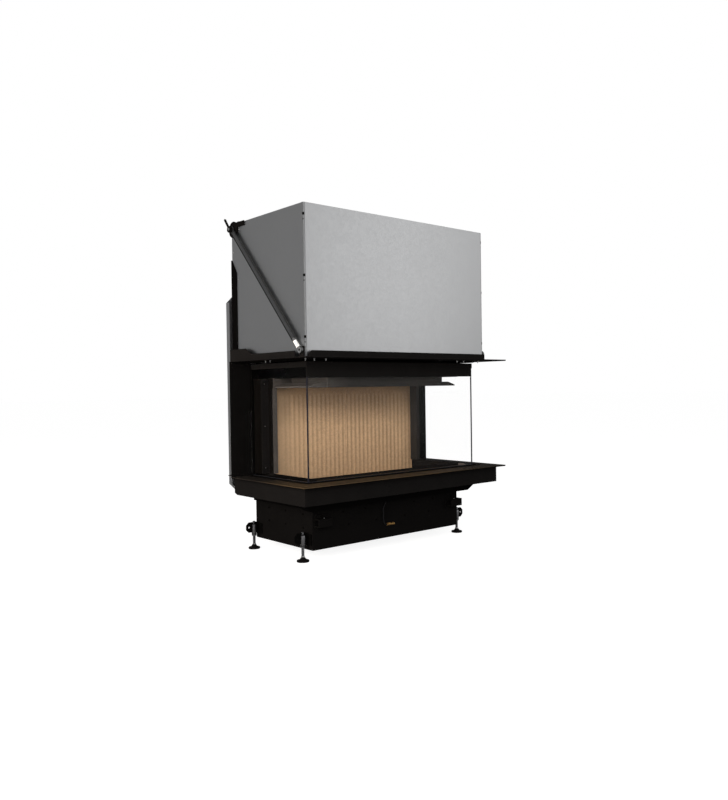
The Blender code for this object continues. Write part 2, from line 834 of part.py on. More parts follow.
def make_shelf():
    """The shelf plate with its hearth opening, and the apron hung under its edge."""
    half = SHELF_WIDTH / 2
    rear_half = SHELF_REAR_WIDTH / 2
    slab(
        "shelf_plate",
        [
            (-half, back(-SHELF_OVERHANG)),
            (half, back(-SHELF_OVERHANG)),
            (half, back(SHELF_SIDE_REAR)),
            (rear_half, back(SHELF_SIDE_REAR)),
            (rear_half, back(SHELF_REAR)),
            (-rear_half, back(SHELF_REAR)),
            (-rear_half, back(SHELF_SIDE_REAR)),
            (-half, back(SHELF_SIDE_REAR)),
        ],
        SHELF_BOTTOM,
        SHELF_TOP,
        "XY",
        "black_paint",
        holes=[
            rectangle(
                -PAN_SIDE - GAP,
                back(PAN_SETBACK - GAP),
                PAN_SIDE + GAP,
                back(PAN_REAR + GAP),
            )
        ],
    )
    band = APRON_WIDTH / 2 - STEEL / 2
    front = back(-APRON_OVERHANG + STEEL / 2)
    end = back(SHELF_SIDE_REAR + APRON_TAIL)
    path = [(-band, end), (-band, front), (band, front), (band, end)]
    top = SHELF_BOTTOM - GAP
    bottom = top - APRON_HEIGHT
    apron = folded("shelf_apron", path, bottom, top, "XY", STEEL, "black_paint")
    notch = slab(
        "apron_notch",
        [
            (end - APRON_TAIL, bottom),
            (end - APRON_TAIL, bottom - OVERRUN),
            (end + OVERRUN, bottom - OVERRUN),
            (end + OVERRUN, bottom + APRON_NOTCH),
            (end, bottom + APRON_NOTCH),
        ],
        -half,
        half,
        "YZ",
        tool=True,
    )
    cut(apron, notch)


def make_upper_frame():
    """The plate round the door's slot, with its upstands and the tie bars' tabs."""
    half = FRAME_WIDTH / 2
    tail = FRAME_TAIL_WIDTH / 2
    shoulder = back(WING_REAR)
    rear = back(FRAME_TAIL_REAR)
    frame = slab(
        "upper_frame",
        [
            (-half, back(-FRAME_OVERHANG)),
            (half, back(-FRAME_OVERHANG)),
            (half, shoulder),
            (tail, shoulder),
            (tail, rear),
            (SLOT_SIDE, rear),
            (SLOT_SIDE, back(SLOT_FRONT)),
            (-SLOT_SIDE, back(SLOT_FRONT)),
            (-SLOT_SIDE, rear),
            (-tail, rear),
            (-tail, shoulder),
            (-half, shoulder),
        ],
        FRAME_BOTTOM,
        FRAME_TOP,
        "XY",
        "black_paint",
    )
    foot = FRAME_TOP - STEEL / 2
    top = FRAME_TOP + UPSTAND_HEIGHT
    reach = UPSTAND_WIDTH / 2
    front = slab(
        "upstand_front",
        [
            (-reach, foot),
            (reach, foot),
            (reach, top),
            (-reach + UPSTAND_CORNER, top),
            (-reach, top - UPSTAND_CORNER),
        ],
        back(-UPSTAND_OFFSET),
        back(-UPSTAND_OFFSET + STEEL),
        "XZ",
        tool=True,
    )
    join(frame, front)
    end = back(UPRIGHT_REAR - STEEL)
    high = FRAME_TOP + UPSTAND_REAR_HEIGHT
    raised = end - UPSTAND_REAR_LENGTH
    for side, sign in SIDES.items():
        outside = sign * (HOOD_SIDE + UPSTAND_OFFSET)
        inside = sign * (HOOD_SIDE + UPSTAND_OFFSET - STEEL)
        low_side, high_side = sorted((outside, inside))
        upstand = slab(
            "upstand_" + side,
            [
                (back(UPSTAND_START), foot),
                (end, foot),
                (end, high),
                (raised, high),
                (raised - UPSTAND_SLOPE, top),
                (back(UPSTAND_START), top),
            ],
            low_side,
            high_side,
            "YZ",
            tool=True,
        )
        join(frame, upstand)
        low_side, high_side = sorted((sign * TAB_SIDE, sign * (TAB_SIDE - STEEL)))
        tab = box(
            "tie_tab_" + side,
            (low_side, back(TIE_FOOT[0] - TAB_LENGTH / 2), foot),
            (high_side, back(TIE_FOOT[0] + TAB_LENGTH / 2), FRAME_TOP + TAB_HEIGHT),
            tool=True,
        )
        join(frame, tab)
        low_side, high_side = sorted(
            (sign * (TAB_SIDE - STEEL / 2), sign * (TIE_SIDE + TIE_SHEET + RUN))
        )
        stud = rod(
            "tie_stud_" + side,
            STUD_RADIUS,
            low_side,
            high_side,
            (0, back(TIE_FOOT[0]), TIE_FOOT[1]),
            "X",
            tool=True,
        )
        join(frame, stud)


def make_jacket():
    """The galvanised jacket: front wrapped round its corners, sides, rear and top cover."""
    skin = HOOD_SIDE - JACKET / 2
    path = [
        (-skin, back(CORNER_FOLD)),
        (-skin, back(JACKET / 2)),
        (skin, back(JACKET / 2)),
        (skin, back(CORNER_FOLD)),
    ]
    folded("hood_front_panel", path, HOOD_BOTTOM, HOOD_TOP, "XY", JACKET, "galvanised")
    front = back(JACKET + GAP)
    rear = back(PANEL_REAR)
    notch = rear - NOTCH_DEPTH
    for side, sign in SIDES.items():
        low_side, high_side = sorted((sign * PANEL_SIDE, sign * (PANEL_SIDE - JACKET)))
        slab(
            f"hood_{side}_panel",
            [
                (front, HOOD_BOTTOM),
                (rear, HOOD_BOTTOM),
                (rear, HOOD_TOP - NOTCH_HEIGHT),
                (notch, HOOD_TOP - NOTCH_HEIGHT),
                (notch, HOOD_TOP),
                (front, HOOD_TOP),
            ],
            low_side,
            high_side,
            "YZ",
            "galvanised",
        )
    bay = back(SHAFT_DEPTH - PULLEY_RADIUS - PULLEY_RIM - OVERRUN)
    collar = back((THROAT_SETBACK - STEEL / 2 + BACK_REAR) / 2)
    holes = [circle(0, collar, COLLAR_RADIUS + GAP)]
    for sign in SIDES.values():
        holes.append(circle(sign * WARM_SPREAD / 2, back(WARM_SETBACK), WARM_RADIUS - JACKET))
    slab(
        "hood_top_cover",
        [
            (-COVER_SIDE, front),
            (COVER_SIDE, front),
            (COVER_SIDE, bay),
            (BAY_SIDE, bay),
            (BAY_SIDE, rear),
            (-BAY_SIDE, rear),
            (-BAY_SIDE, bay),
            (-COVER_SIDE, bay),
        ],
        COVER_BOTTOM,
        COVER_TOP,
        "XY",
        "galvanised",
        holes=holes,
    )
    for side, sign in SIDES.items():
        ring(
            "warm_air_spigot_" + side,
            WARM_RADIUS,
            WARM_RADIUS - JACKET,
            COVER_TOP + GAP,
            COVER_TOP + WARM_RISE,
            (sign * WARM_SPREAD / 2, back(WARM_SETBACK), 0),
            "Z",
            "galvanised",
        )
    width = UPRIGHT_SIDE + STEEL - UPRIGHT_LEG - GAP
    box(
        "hood_rear_panel",
        (-width, back(UPRIGHT_REAR - STEEL), SHELF_TOP + GAP),
        (width, back(UPRIGHT_REAR - STEEL + JACKET), COVER_TOP),
        "galvanised",
    )


def make_rear_frame():
    """The black angles at the rear corners and the galvanised ducts screwed behind them."""
    for side, sign in SIDES.items():
        leg = UPRIGHT_SIDE + STEEL / 2
        path = [
            (sign * leg, back(UPRIGHT_FRONT)),
            (sign * leg, back(UPRIGHT_REAR - STEEL / 2)),
            (sign * (UPRIGHT_SIDE + STEEL - UPRIGHT_LEG), back(UPRIGHT_REAR - STEEL / 2)),
        ]
        bottom = SHELF_TOP + GAP
        top = bottom + UPRIGHT_HEIGHT
        upright = folded("rear_upright_" + side, path, bottom, top, "XY", STEEL, "black_paint")
        low_side, high_side = sorted(
            (sign * (UPRIGHT_SIDE - OVERRUN), sign * (UPRIGHT_SIDE + STEEL + OVERRUN))
        )
        wedge = slab(
            "upright_wedge_" + side,
            [
                (back(UPRIGHT_FRONT - OVERRUN), top - UPRIGHT_SLOPE),
                (back(UPRIGHT_FRONT), top - UPRIGHT_SLOPE),
                (back(UPRIGHT_REAR - STEEL - GAP), top),
                (back(UPRIGHT_REAR - STEEL - GAP), top + OVERRUN),
                (back(UPRIGHT_FRONT - OVERRUN), top + OVERRUN),
            ],
            low_side,
            high_side,
            "YZ",
            tool=True,
        )
        cut(upright, wedge)
        outer = HOOD_SIDE + DUCT_OUTSTAND
        inner = outer - DUCT_WIDTH
        duct = slab(
            "counterweight_duct_" + side,
            duct_outline(sign, outer, inner, 0, DUCT_TOP),
            back(DUCT_FRONT),
            back(DUCT_FRONT + DUCT_DEPTH),
            "XZ",
            "galvanised",
        )
        hollow = slab(
            "duct_inside_" + side,
            duct_outline(sign, outer, inner, JACKET, DUCT_TOP + DUCT_CHAMFER + OVERRUN),
            back(DUCT_FRONT + JACKET),
            back(DUCT_FRONT + DUCT_DEPTH - JACKET),
            "XZ",
            tool=True,
        )
        cut(duct, hollow)


def duct_outline(sign, outer, inner, wall, top):
    """A tall outline with its outer corners chamfered, drawn in by a wall."""
    low = DUCT_BOTTOM + wall
    return [
        (sign * (inner + wall), low),
        (sign * (outer - DUCT_CHAMFER), low),
        (sign * (outer - wall), low + DUCT_CHAMFER - wall),
        (sign * (outer - wall), top - DUCT_CHAMFER),
        (sign * (outer - DUCT_CHAMFER), top),
        (sign * (inner + wall), top),
    ]


def make_wings():
    """The black cladding panels beside the door, between the shelf and the upper frame."""
    outer = SHELF_WIDTH / 2
    step = SHELF_REAR_WIDTH / 2 + GAP
    top = FRAME_BOTTOM - GAP
    for side, sign in SIDES.items():
        slab(
            "wing_panel_" + side,
            [
                (sign * WING_SIDE, top),
                (sign * WING_SIDE, SHELF_TOP + GAP),
                (sign * step, SHELF_TOP + GAP),
                (sign * step, SHELF_BOTTOM),
                (sign * outer, SHELF_BOTTOM),
                (sign * outer, top),
            ],
            back(WING_FRONT),
            back(WING_REAR),
            "XZ",
            "black_paint",
        )


def make_guides():
    """The channels in which the door's carriage rollers run, open towards the carriages."""
    web = DOOR_SIDE - STILE_WIDTH - STEEL / 2
    mouth = DOOR_SIDE - CARRIAGE_SHEET - RUN - STEEL
    for side, sign in SIDES.items():
        path = [
            (sign * mouth, back(GUIDE_FRONT + STEEL / 2)),
            (sign * web, back(GUIDE_FRONT + STEEL / 2)),
            (sign * web, back(GUIDE_REAR - STEEL / 2)),
            (sign * mouth, back(GUIDE_REAR - STEEL / 2)),
        ]
        folded(
            "guide_rail_" + side,
            path,
            SHELF_TOP + GAP,
            COVER_BOTTOM - GAP,
            "XY",
            BACK_SHEET,
            "zinc_steel",
        )


def make_door():
    """The lifting door: an angle bar round three sides, three panes and two rear stiles."""
    front = back(DOOR_SETBACK - BAR_PROUD)
    rear = back(GLASS_REAR)

    def bar_outline(inset):
        outer = BAR_SIDE - inset
        inner = BAR_SIDE - BAR_DEPTH
        return [
            (-outer, front + inset),
            (outer, front + inset),
            (outer, rear + inset),
            (inner - inset, rear + inset),
            (inner - inset, front + BAR_DEPTH + inset),
            (-inner + inset, front + BAR_DEPTH + inset),
            (-inner + inset, rear + inset),
            (-outer, rear + inset),
        ]

    bar = slab("door_top_bar", bar_outline(0), BAR_BOTTOM, BAR_TOP, "XY", "black_paint")
    hollow = slab(
        "bar_inside",
        bar_outline(BAR_SHEET),
        BAR_BOTTOM - OVERRUN,
        BAR_TOP - BAR_SHEET,
        "XY",
        tool=True,
    )
    rail = box(
        "bar_rail",
        (-DOOR_SIDE, back(DOOR_SETBACK), BAR_BOTTOM - RAIL_HEIGHT),
        (DOOR_SIDE, back(DOOR_SETBACK + RAIL_SHEET), BAR_TOP - BAR_SHEET / 2),
        tool=True,
    )
    join(cut(bar, hollow), rail)
    box(
        "door_glass_front",
        (-DOOR_SIDE, back(DOOR_SETBACK), GLASS_BOTTOM),
        (DOOR_SIDE, back(DOOR_SETBACK + GLASS), BAR_BOTTOM - RAIL_HEIGHT - GAP),
        "ceramic_glass",
    )
    for side, sign in SIDES.items():
        low_side, high_side = sorted((sign * DOOR_SIDE, sign * (DOOR_SIDE - GLASS)))
        box(
            "door_glass_" + side,
            (low_side, back(DOOR_SETBACK + GLASS + GAP), GLASS_BOTTOM),
            (high_side, rear, BAR_BOTTOM - GAP),
            "ceramic_glass",
        )
        make_stile(side, sign)


def make_stile(side, sign):
    """A rear stile, its carriage plate, two guide rollers and the lug that takes the cable."""

    def span(near, far):
        return sorted((sign * near, sign * far))

    low_side, high_side = span(DOOR_SIDE, DOOR_SIDE - STILE_WIDTH)
    stile = box(
        "door_stile_" + side,
        (low_side, back(STILE_FRONT), GLASS_BOTTOM),
        (high_side, back(STILE_REAR), BAR_TOP),
        "black_paint",
    )
    low_side, high_side = span(DOOR_SIDE, DOOR_SIDE - CARRIAGE_SHEET)
    plate = box(
        "carriage_plate_" + side,
        (low_side, back(STILE_FRONT + STILE_SHEET / 2), BAR_TOP - CARRIAGE_HEIGHT),
        (high_side, back(STILE_REAR + CARRIAGE_REACH), BAR_TOP),
        tool=True,
    )
    join(stile, plate)
    roller_low = DOOR_SIDE - STILE_WIDTH + RUN + STEEL / 2
    for place, height in (
        ("upper", BAR_TOP - ROLLER_INSET),
        ("lower", BAR_TOP - CARRIAGE_HEIGHT + ROLLER_INSET),
    ):
        low, high = span(roller_low, DOOR_SIDE - CARRIAGE_SHEET / 2)
        roller = rod(
            f"roller_{place}_{side}",
            ROLLER_RADIUS,
            low,
            high,
            (0, back(GUIDE_CENTRE), height),
            "X",
            tool=True,
        )
        join(stile, roller)
    low_side, high_side = span(DOOR_SIDE - CARRIAGE_SHEET / 2, LIFT_LINE + LUG_REACH / 2)
    centre = back(SHAFT_DEPTH - PULLEY_LINE)
    lug = box(
        "cable_lug_" + side,
        (low_side, centre - LUG_LENGTH / 2, BAR_TOP - LUG_HEIGHT),
        (high_side, centre + LUG_LENGTH / 2, BAR_TOP - GAP),
        tool=True,
    )
    join(stile, lug)


def make_lifting_gear():
    """Counterweights, cables over their pulleys, the shaft, its brackets and its lock lever."""
    groove = GROOVE_WIDTH / 2
    rim = PULLEY_WIDTH / 2
    outer = PULLEY_RADIUS + PULLEY_RIM
    end = LEVER_SIDE + HUB_WIDTH + RUN
    centre = (0, back(SHAFT_DEPTH), SHAFT_HEIGHT)
    half = [
        (SHAFT_RADIUS, LIFT_LINE + rim),
        (outer, LIFT_LINE + rim),
        (outer, LIFT_LINE + groove),
        (PULLEY_RADIUS, LIFT_LINE + groove),
        (PULLEY_RADIUS, LIFT_LINE - groove),
        (outer, LIFT_LINE - groove),
        (outer, LIFT_LINE - rim),
        (SHAFT_RADIUS, LIFT_LINE - rim),
    ]
    profile = [(0, end), (SHAFT_RADIUS, end)] + half
    profile += [(radius, -along) for radius, along in reversed(half)]
    profile += [(SHAFT_RADIUS, -end), (0, -end)]
    turned("pulley_shaft", profile, centre, "X", "zinc_steel")
    for side, sign in SIDES.items():
        make_counterweight(side, sign)
        make_lift_cable(side, sign)
        make_pulley_bracket(side, sign)
        make_tie_bar(side, sign)
    make_lock_lever()


def make_counterweight(side, sign):
    centre = HOOD_SIDE + DUCT_OUTSTAND - DUCT_WIDTH / 2
    low_side, high_side = sorted(
        (sign * (centre - WEIGHT_WIDTH / 2), sign * (centre + WEIGHT_WIDTH / 2))
    )
    box(
        "counterweight_" + side,
        (low_side, back(DUCT_CENTRE - WEIGHT_DEPTH / 2), WEIGHT_BOTTOM),
        (high_side, back(DUCT_CENTRE + WEIGHT_DEPTH / 2), WEIGHT_TOP),
        "raw_steel",
    )


def make_lift_cable(side, sign):
    """The cable from the carriage's lug up over the pulley and down to the counterweight."""
    steps = 12
    across = sign * LIFT_LINE
    route = [(across, back(SHAFT_DEPTH - PULLEY_LINE), BAR_TOP)]
    for index in range(steps + 1):
        turn = math.pi * (1 - index / steps)
        depth = SHAFT_DEPTH + PULLEY_LINE * math.cos(turn)
        route.append((across, back(depth), SHAFT_HEIGHT + PULLEY_LINE * math.sin(turn)))
    route.append((across, back(SHAFT_DEPTH + PULLEY_LINE), WEIGHT_TOP + GAP))
    tube("lift_cable_" + side, route, CABLE_RADIUS, "wire_rope")


def make_pulley_bracket(side, sign):
    """A round plate over the shaft's end, with a strip forward along the jacket's top edge."""
    low_side, high_side = sorted((sign * PLATE_SIDE, sign * (PLATE_SIDE + BRACKET_SHEET)))
    centre = back(SHAFT_DEPTH)
    top = HOOD_TOP + STEEL
    bottom = HOOD_TOP - PLATE_STRIP_HEIGHT
    outline = arc(
        centre,
        SHAFT_HEIGHT,
        PLATE_RADIUS,
        math.asin((bottom - SHAFT_HEIGHT) / PLATE_RADIUS) - math.pi,
        math.pi - math.asin((top - SHAFT_HEIGHT) / PLATE_RADIUS),
    )
    outline[0] = (outline[0][0], bottom)
    outline += [(centre - PLATE_STRIP, top), (centre - PLATE_STRIP, bottom)]
    plate = slab("pulley_bracket_" + side, outline, low_side, high_side, "YZ", "black_paint")
    bore = rod(
        "bracket_bore_" + side,
        SHAFT_RADIUS + RUN,
        low_side - OVERRUN,
        high_side + OVERRUN,
        (0, centre, SHAFT_HEIGHT),
        "X",
        tool=True,
    )
    cut(plate, bore)


def make_tie_bar(side, sign):
    """A flat bar from the shaft's end down to the stud at the upper frame's front corner."""
    head = Vector((back(SHAFT_DEPTH), SHAFT_HEIGHT))
    foot = Vector((back(TIE_FOOT[0]), TIE_FOOT[1]))
    run = (foot - head).normalized()
    low_side, high_side = sorted((sign * TIE_SIDE, sign * (TIE_SIDE + TIE_SHEET)))
    end = foot - run * (ROD_LENGTH + TIE_EYE)
    bar = slab(
        "tie_bar_" + side,
        keyhole(head, end, TIE_EYE, TIE_WIDTH),
        low_side,
        high_side,
        "YZ",
        "galvanised",
    )
    eye = slab(
        "tie_eye_" + side,
        circle(foot.x, foot.y, TIE_EYE),
        low_side,
        high_side,
        "YZ",
        tool=True,
    )
    start = end - run * STEEL
    shank = rod(
        "tie_rod_" + side,
        ROD_RADIUS,
        0,
        ROD_LENGTH + STEEL + STEEL,
        ((low_side + high_side) / 2, start.x, start.y),
        "Z",
        tool=True,
    )
    shank.rotation_euler = Vector((0, run.x, run.y)).to_track_quat("Z", "Y").to_euler()
    join(join(bar, eye), shank)
    for name, place, radius in (
        ("head", head, SHAFT_RADIUS + RUN),
        ("foot", foot, STUD_RADIUS + RUN),
    ):
        bore = rod(
            f"tie_{name}_bore_{side}",
            radius,
            low_side - OVERRUN,
            high_side + OVERRUN,
            (0, place.x, place.y),
            "X",
            tool=True,
        )
        cut(bar, bore)


def make_lock_lever():
    """The short lever on the shaft's left end, turned about the shaft."""
    centre = Vector((back(SHAFT_DEPTH), SHAFT_HEIGHT))
    low_side = -LEVER_SIDE - HUB_WIDTH
    high_side = -LEVER_SIDE
    run = Vector((math.cos(LEVER_ANGLE), math.sin(LEVER_ANGLE)))
    lever = slab(
        "shaft_lock_lever",
        keyhole(centre, centre + run * LEVER_LENGTH, HUB_RADIUS, LEVER_WIDTH),
        low_side,
        high_side,
        "YZ",
        "black_paint",
    )
    bore = rod(
        "lever_bore",
        SHAFT_RADIUS + RUN,
        low_side - OVERRUN,
        high_side + OVERRUN,
        (0, centre.x, centre.y),
        "X",
        tool=True,
    )
    cut(lever, bore)


def make_feet():
    """Four brackets on the base's sides, and the spindle and pad that each one carries."""
    outside = BASE_WIDTH / 2
    places = {
        "front": BASE_SETBACK + FOOT_INSET_FRONT,
        "rear": BASE_REAR - FOOT_INSET_REAR,
    }
    for side, sign in SIDES.items():
        for end, depth in places.items():
            name = f"{end}_{side}"
            centre = (sign * (outside + FOOT_REACH), back(depth), 0)
            make_leg_bracket(name, sign, centre)
            profile = [
                (0, SPINDLE_HEIGHT),
                (SPINDLE_RADIUS, SPINDLE_HEIGHT),
                (SPINDLE_RADIUS, NUT_TOP),
                (NUT_RADIUS, NUT_TOP),
                (NUT_RADIUS, NUT_TOP - NUT_HEIGHT),
                (SPINDLE_RADIUS, NUT_TOP - NUT_HEIGHT),
                (SPINDLE_RADIUS, PAD_HEIGHT),
                (PAD_NECK, PAD_HEIGHT),
                (PAD_RADIUS, PAD_RIM),
                (PAD_RADIUS, 0),
                (0, 0),
            ]
            turned("levelling_foot_" + name, profile, centre, "Z", "zinc_steel")


def make_leg_bracket(name, sign, centre):
    """A plate on the box's side, an eight-sided cheek and the threaded boss for the spindle."""
    outside = BASE_WIDTH / 2
    near = sign * (outside + GAP)
    far = sign * (outside + GAP + BRACKET_SHEET)
    low_side, high_side = sorted((near, far))
    plate = box(
        "leg_bracket_" + name,
        (low_side, centre[1] - BRACKET_WIDTH / 2, BRACKET_BOTTOM),
        (high_side, centre[1] + BRACKET_WIDTH / 2, BRACKET_TOP),
        "black_paint",
    )
    low_side, high_side = sorted((far - sign * BRACKET_SHEET / 2, far + sign * CHEEK_WIDTH))
    corner = CHEEK_CORNER
    bottom = BRACKET_BOTTOM + CHEEK_LIFT
    top = BRACKET_TOP + CHEEK_LIFT
    tip = far + sign * (CHEEK_WIDTH - CHEEK_HOLE_INSET)
    cheek = slab(
        "leg_cheek_" + name,
        [
            (low_side + corner, bottom),
            (high_side - corner, bottom),
            (high_side, bottom + corner),
            (high_side, top - corner),
            (high_side - corner, top),
            (low_side + corner, top),
            (low_side, top - corner),
            (low_side, bottom + corner),
        ],
        centre[1] - BRACKET_SHEET / 2,
        centre[1] + BRACKET_SHEET / 2,
        "XZ",
        holes=[circle(tip, (bottom + top) / 2, CHEEK_HOLE_RADIUS)],
        tool=True,
    )
    boss = rod(
        "leg_boss_" + name,
        BOSS_RADIUS,
        BRACKET_BOTTOM,
        BRACKET_TOP,
        centre,
        "Z",
        tool=True,
    )
    bore = rod(
        "leg_bore_" + name,
        SPINDLE_RADIUS + GAP,
        BRACKET_BOTTOM - OVERRUN,
        BRACKET_TOP + OVERRUN,
        centre,
        "Z",
        tool=True,
    )
    cut(join(join(plate, cheek), boss), bore)


def make_carrier_sockets():
    """A plate with a square tube on each side of the base's front, open at its outer end."""
    face = BASE_SETBACK - GAP
    for side, sign in SIDES.items():
        outer = BASE_WIDTH / 2 - SOCKET_INSET
        low_side, high_side = sorted((sign * outer, sign * (outer - SOCKET_PLATE_WIDTH)))
        bottom = BASE_LIFT + SOCKET_LIFT
        plate = box(
            "carrier_socket_" + side,
            (low_side, back(face - BRACKET_SHEET), bottom),
            (high_side, back(face), bottom + SOCKET_PLATE_HEIGHT),
            "black_paint",
        )
        end = BASE_WIDTH / 2 + SOCKET_OUTSTAND
        low_side, high_side = sorted((sign * end, sign * (end - SOCKET_LENGTH)))
        middle = bottom + SOCKET_PLATE_HEIGHT / 2
        front = face - BRACKET_SHEET - SOCKET_TUBE
        sleeve = box(
            "socket_sleeve_" + side,
            (low_side, back(front), middle - SOCKET_TUBE / 2),
            (high_side, back(face - BRACKET_SHEET / 2), middle + SOCKET_TUBE / 2),
            tool=True,
        )
        inside = box(
            "socket_inside_" + side,
            (low_side - OVERRUN, back(front + SOCKET_WALL), middle - SOCKET_TUBE / 2 + SOCKET_WALL),
            (
                high_side + OVERRUN,
                back(face - BRACKET_SHEET),
                middle + SOCKET_TUBE / 2 - SOCKET_WALL,
            ),
            tool=True,
        )
        cut(join(plate, sleeve), inside)


def make_air_control():
    """The control cable down the base's front, and the brass clamp that holds its end."""
    depth = BASE_SETBACK - GAP - CLAMP_DEPTH / 2
    height = BASE_LIFT + CLAMP_LIFT + CLAMP_HEIGHT / 2
    start = CONTROL_OFFSET + CONTROL_RADIUS * 3
    clamp = box(
        "cable_clamp",
        (start, back(depth - CLAMP_DEPTH / 2), height - CLAMP_HEIGHT / 2),
        (start + CLAMP_LENGTH, back(depth + CLAMP_DEPTH / 2), height + CLAMP_HEIGHT / 2),
        "brass",
    )
    edge = clamp.modifiers.new("edge", "BEVEL")
    edge.width = CLAMP_HEIGHT / 6
    edge.segments = 2
    top = TROUGH_BOTTOM - GAP
    knots = [
        (CONTROL_OFFSET, top),
        (CONTROL_OFFSET, top - CONTROL_DIP),
        (CONTROL_OFFSET - CONTROL_BULGE, top - CONTROL_DIP * 3),
        (CONTROL_OFFSET - CONTROL_BULGE, (top + height) / 2),
        (CONTROL_OFFSET - CONTROL_BULGE, height + CONTROL_DIP * 2),
        (CONTROL_OFFSET - CONTROL_BULGE / 2, height + CONTROL_DIP / 2),
        (CONTROL_OFFSET, height),
        (start - GAP, height),
    ]
    route = [(across, back(depth), level) for across, level in smooth(knots, 4)]
    tube("control_cable", route, CONTROL_RADIUS, "grey_sheath")


def smooth(knots, steps):
    """Points of a smooth curve through the knots, a few for each stretch between two."""
    points = []
    count = len(knots)
    for index in range(count - 1):
        before = knots[max(index - 1, 0)]
        near = knots[index]
        far = knots[index + 1]
        after = knots[min(index + 2, count - 1)]
        for step in range(steps):
            share = step / steps
            points.append(
                tuple(
                    near[axis]
                    + share * (far[axis] - before[axis]) / 2
                    + share**2 * (before[axis] - 5 * near[axis] / 2 + 2 * far[axis] - after[axis] / 2)
                    + share**3 * (3 * near[axis] - before[axis] - 3 * far[axis] + after[axis]) / 2
                    for axis in range(2)
                )
            )
    points.append(knots[-1])
    return points


def make_air_inlet():
    """The air inlet behind the base, and the butterfly flap on its shaft and crank."""
    start = back(BASE_REAR + GAP)
    end = back(INLET_REAR)
    inner = INLET_RADIUS - JACKET
    axis = (0, start, INLET_HEIGHT)
    spigot = ring(
        "air_inlet_spigot",
        INLET_RADIUS,
        inner,
        0,
        end - start,
        axis,
        "Y",
        "galvanised",
    )
    shaft_y = start + FLAP_SETBACK
    reach = INLET_RADIUS + STEEL
    bore = rod(
        "inlet_bore",
        FLAP_SHAFT_RADIUS + RUN,
        -reach - OVERRUN,
        reach + OVERRUN,
        (0, shaft_y, INLET_HEIGHT),
        "X",
        tool=True,
    )
    cut(spigot, bore)
    flap = rod(
        "air_flap",
        inner - FLAP_CLEARANCE,
        -FLAP_SHEET / 2,
        FLAP_SHEET / 2,
        (0, shaft_y, INLET_HEIGHT),
        "Y",
        "zinc_steel",
    )
    shaft = rod(
        "flap_shaft",
        FLAP_SHAFT_RADIUS,
        -reach,
        reach + BRACKET_SHEET,
        (0, shaft_y, INLET_HEIGHT),
        "X",
        tool=True,
    )
    join(flap, shaft)
    crank = box(
        "flap_crank",
        (reach, shaft_y - CRANK_WIDTH / 2, INLET_HEIGHT - CRANK_WIDTH / 2),
        (reach + BRACKET_SHEET, shaft_y + CRANK_WIDTH / 2, INLET_HEIGHT + CRANK_LENGTH),
        tool=True,
    )
    join(flap, crank)


clear_scene()
PARTS = make_collection("wood_burning_fireplace")
TOOLS = make_collection("cutters")
MATERIALS = {
    "galvanised": make_material("galvanised", (0.50, 0.50, 0.50), 0.35, 1.0),
    "black_paint": make_material("black_paint", (0.012, 0.012, 0.013), 0.55, 0.0),
    "heat_grey": make_material("heat_grey", (0.09, 0.08, 0.075), 0.6, 0.0),
    "fireclay": make_material("fireclay", (0.42, 0.28, 0.18), 0.9, 0.0),
    "vermiculite": make_material("vermiculite", (0.35, 0.27, 0.19), 0.95, 0.0),
    "ceramic_glass": make_material("ceramic_glass", (0.9, 0.9, 0.88), 0.05, 0.0),
    "zinc_steel": make_material("zinc_steel", (0.62, 0.62, 0.60), 0.3, 1.0),
    "raw_steel": make_material("raw_steel", (0.16, 0.15, 0.14), 0.6, 1.0),
    "wire_rope": make_material("wire_rope", (0.35, 0.35, 0.34), 0.5, 1.0),
    "brass": make_material("brass", (0.72, 0.52, 0.22), 0.35, 1.0),
    "grey_sheath": make_material("grey_sheath", (0.08, 0.08, 0.08), 0.5, 0.0),
}
make_base_box()
make_trough()
make_hearth_pan()
make_fireclay()
make_firebox_back()
make_throat()
make_dome()
make_shelf()
make_upper_frame()
make_jacket()
make_rear_frame()
make_wings()
make_guides()
make_door()
make_lifting_gear()
make_feet()
make_carrier_sockets()
make_air_control()
make_air_inlet()
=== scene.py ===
"""Wood-burning fireplace insert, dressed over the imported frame: finishes, fasteners, ropes and studio."""
import json
import math

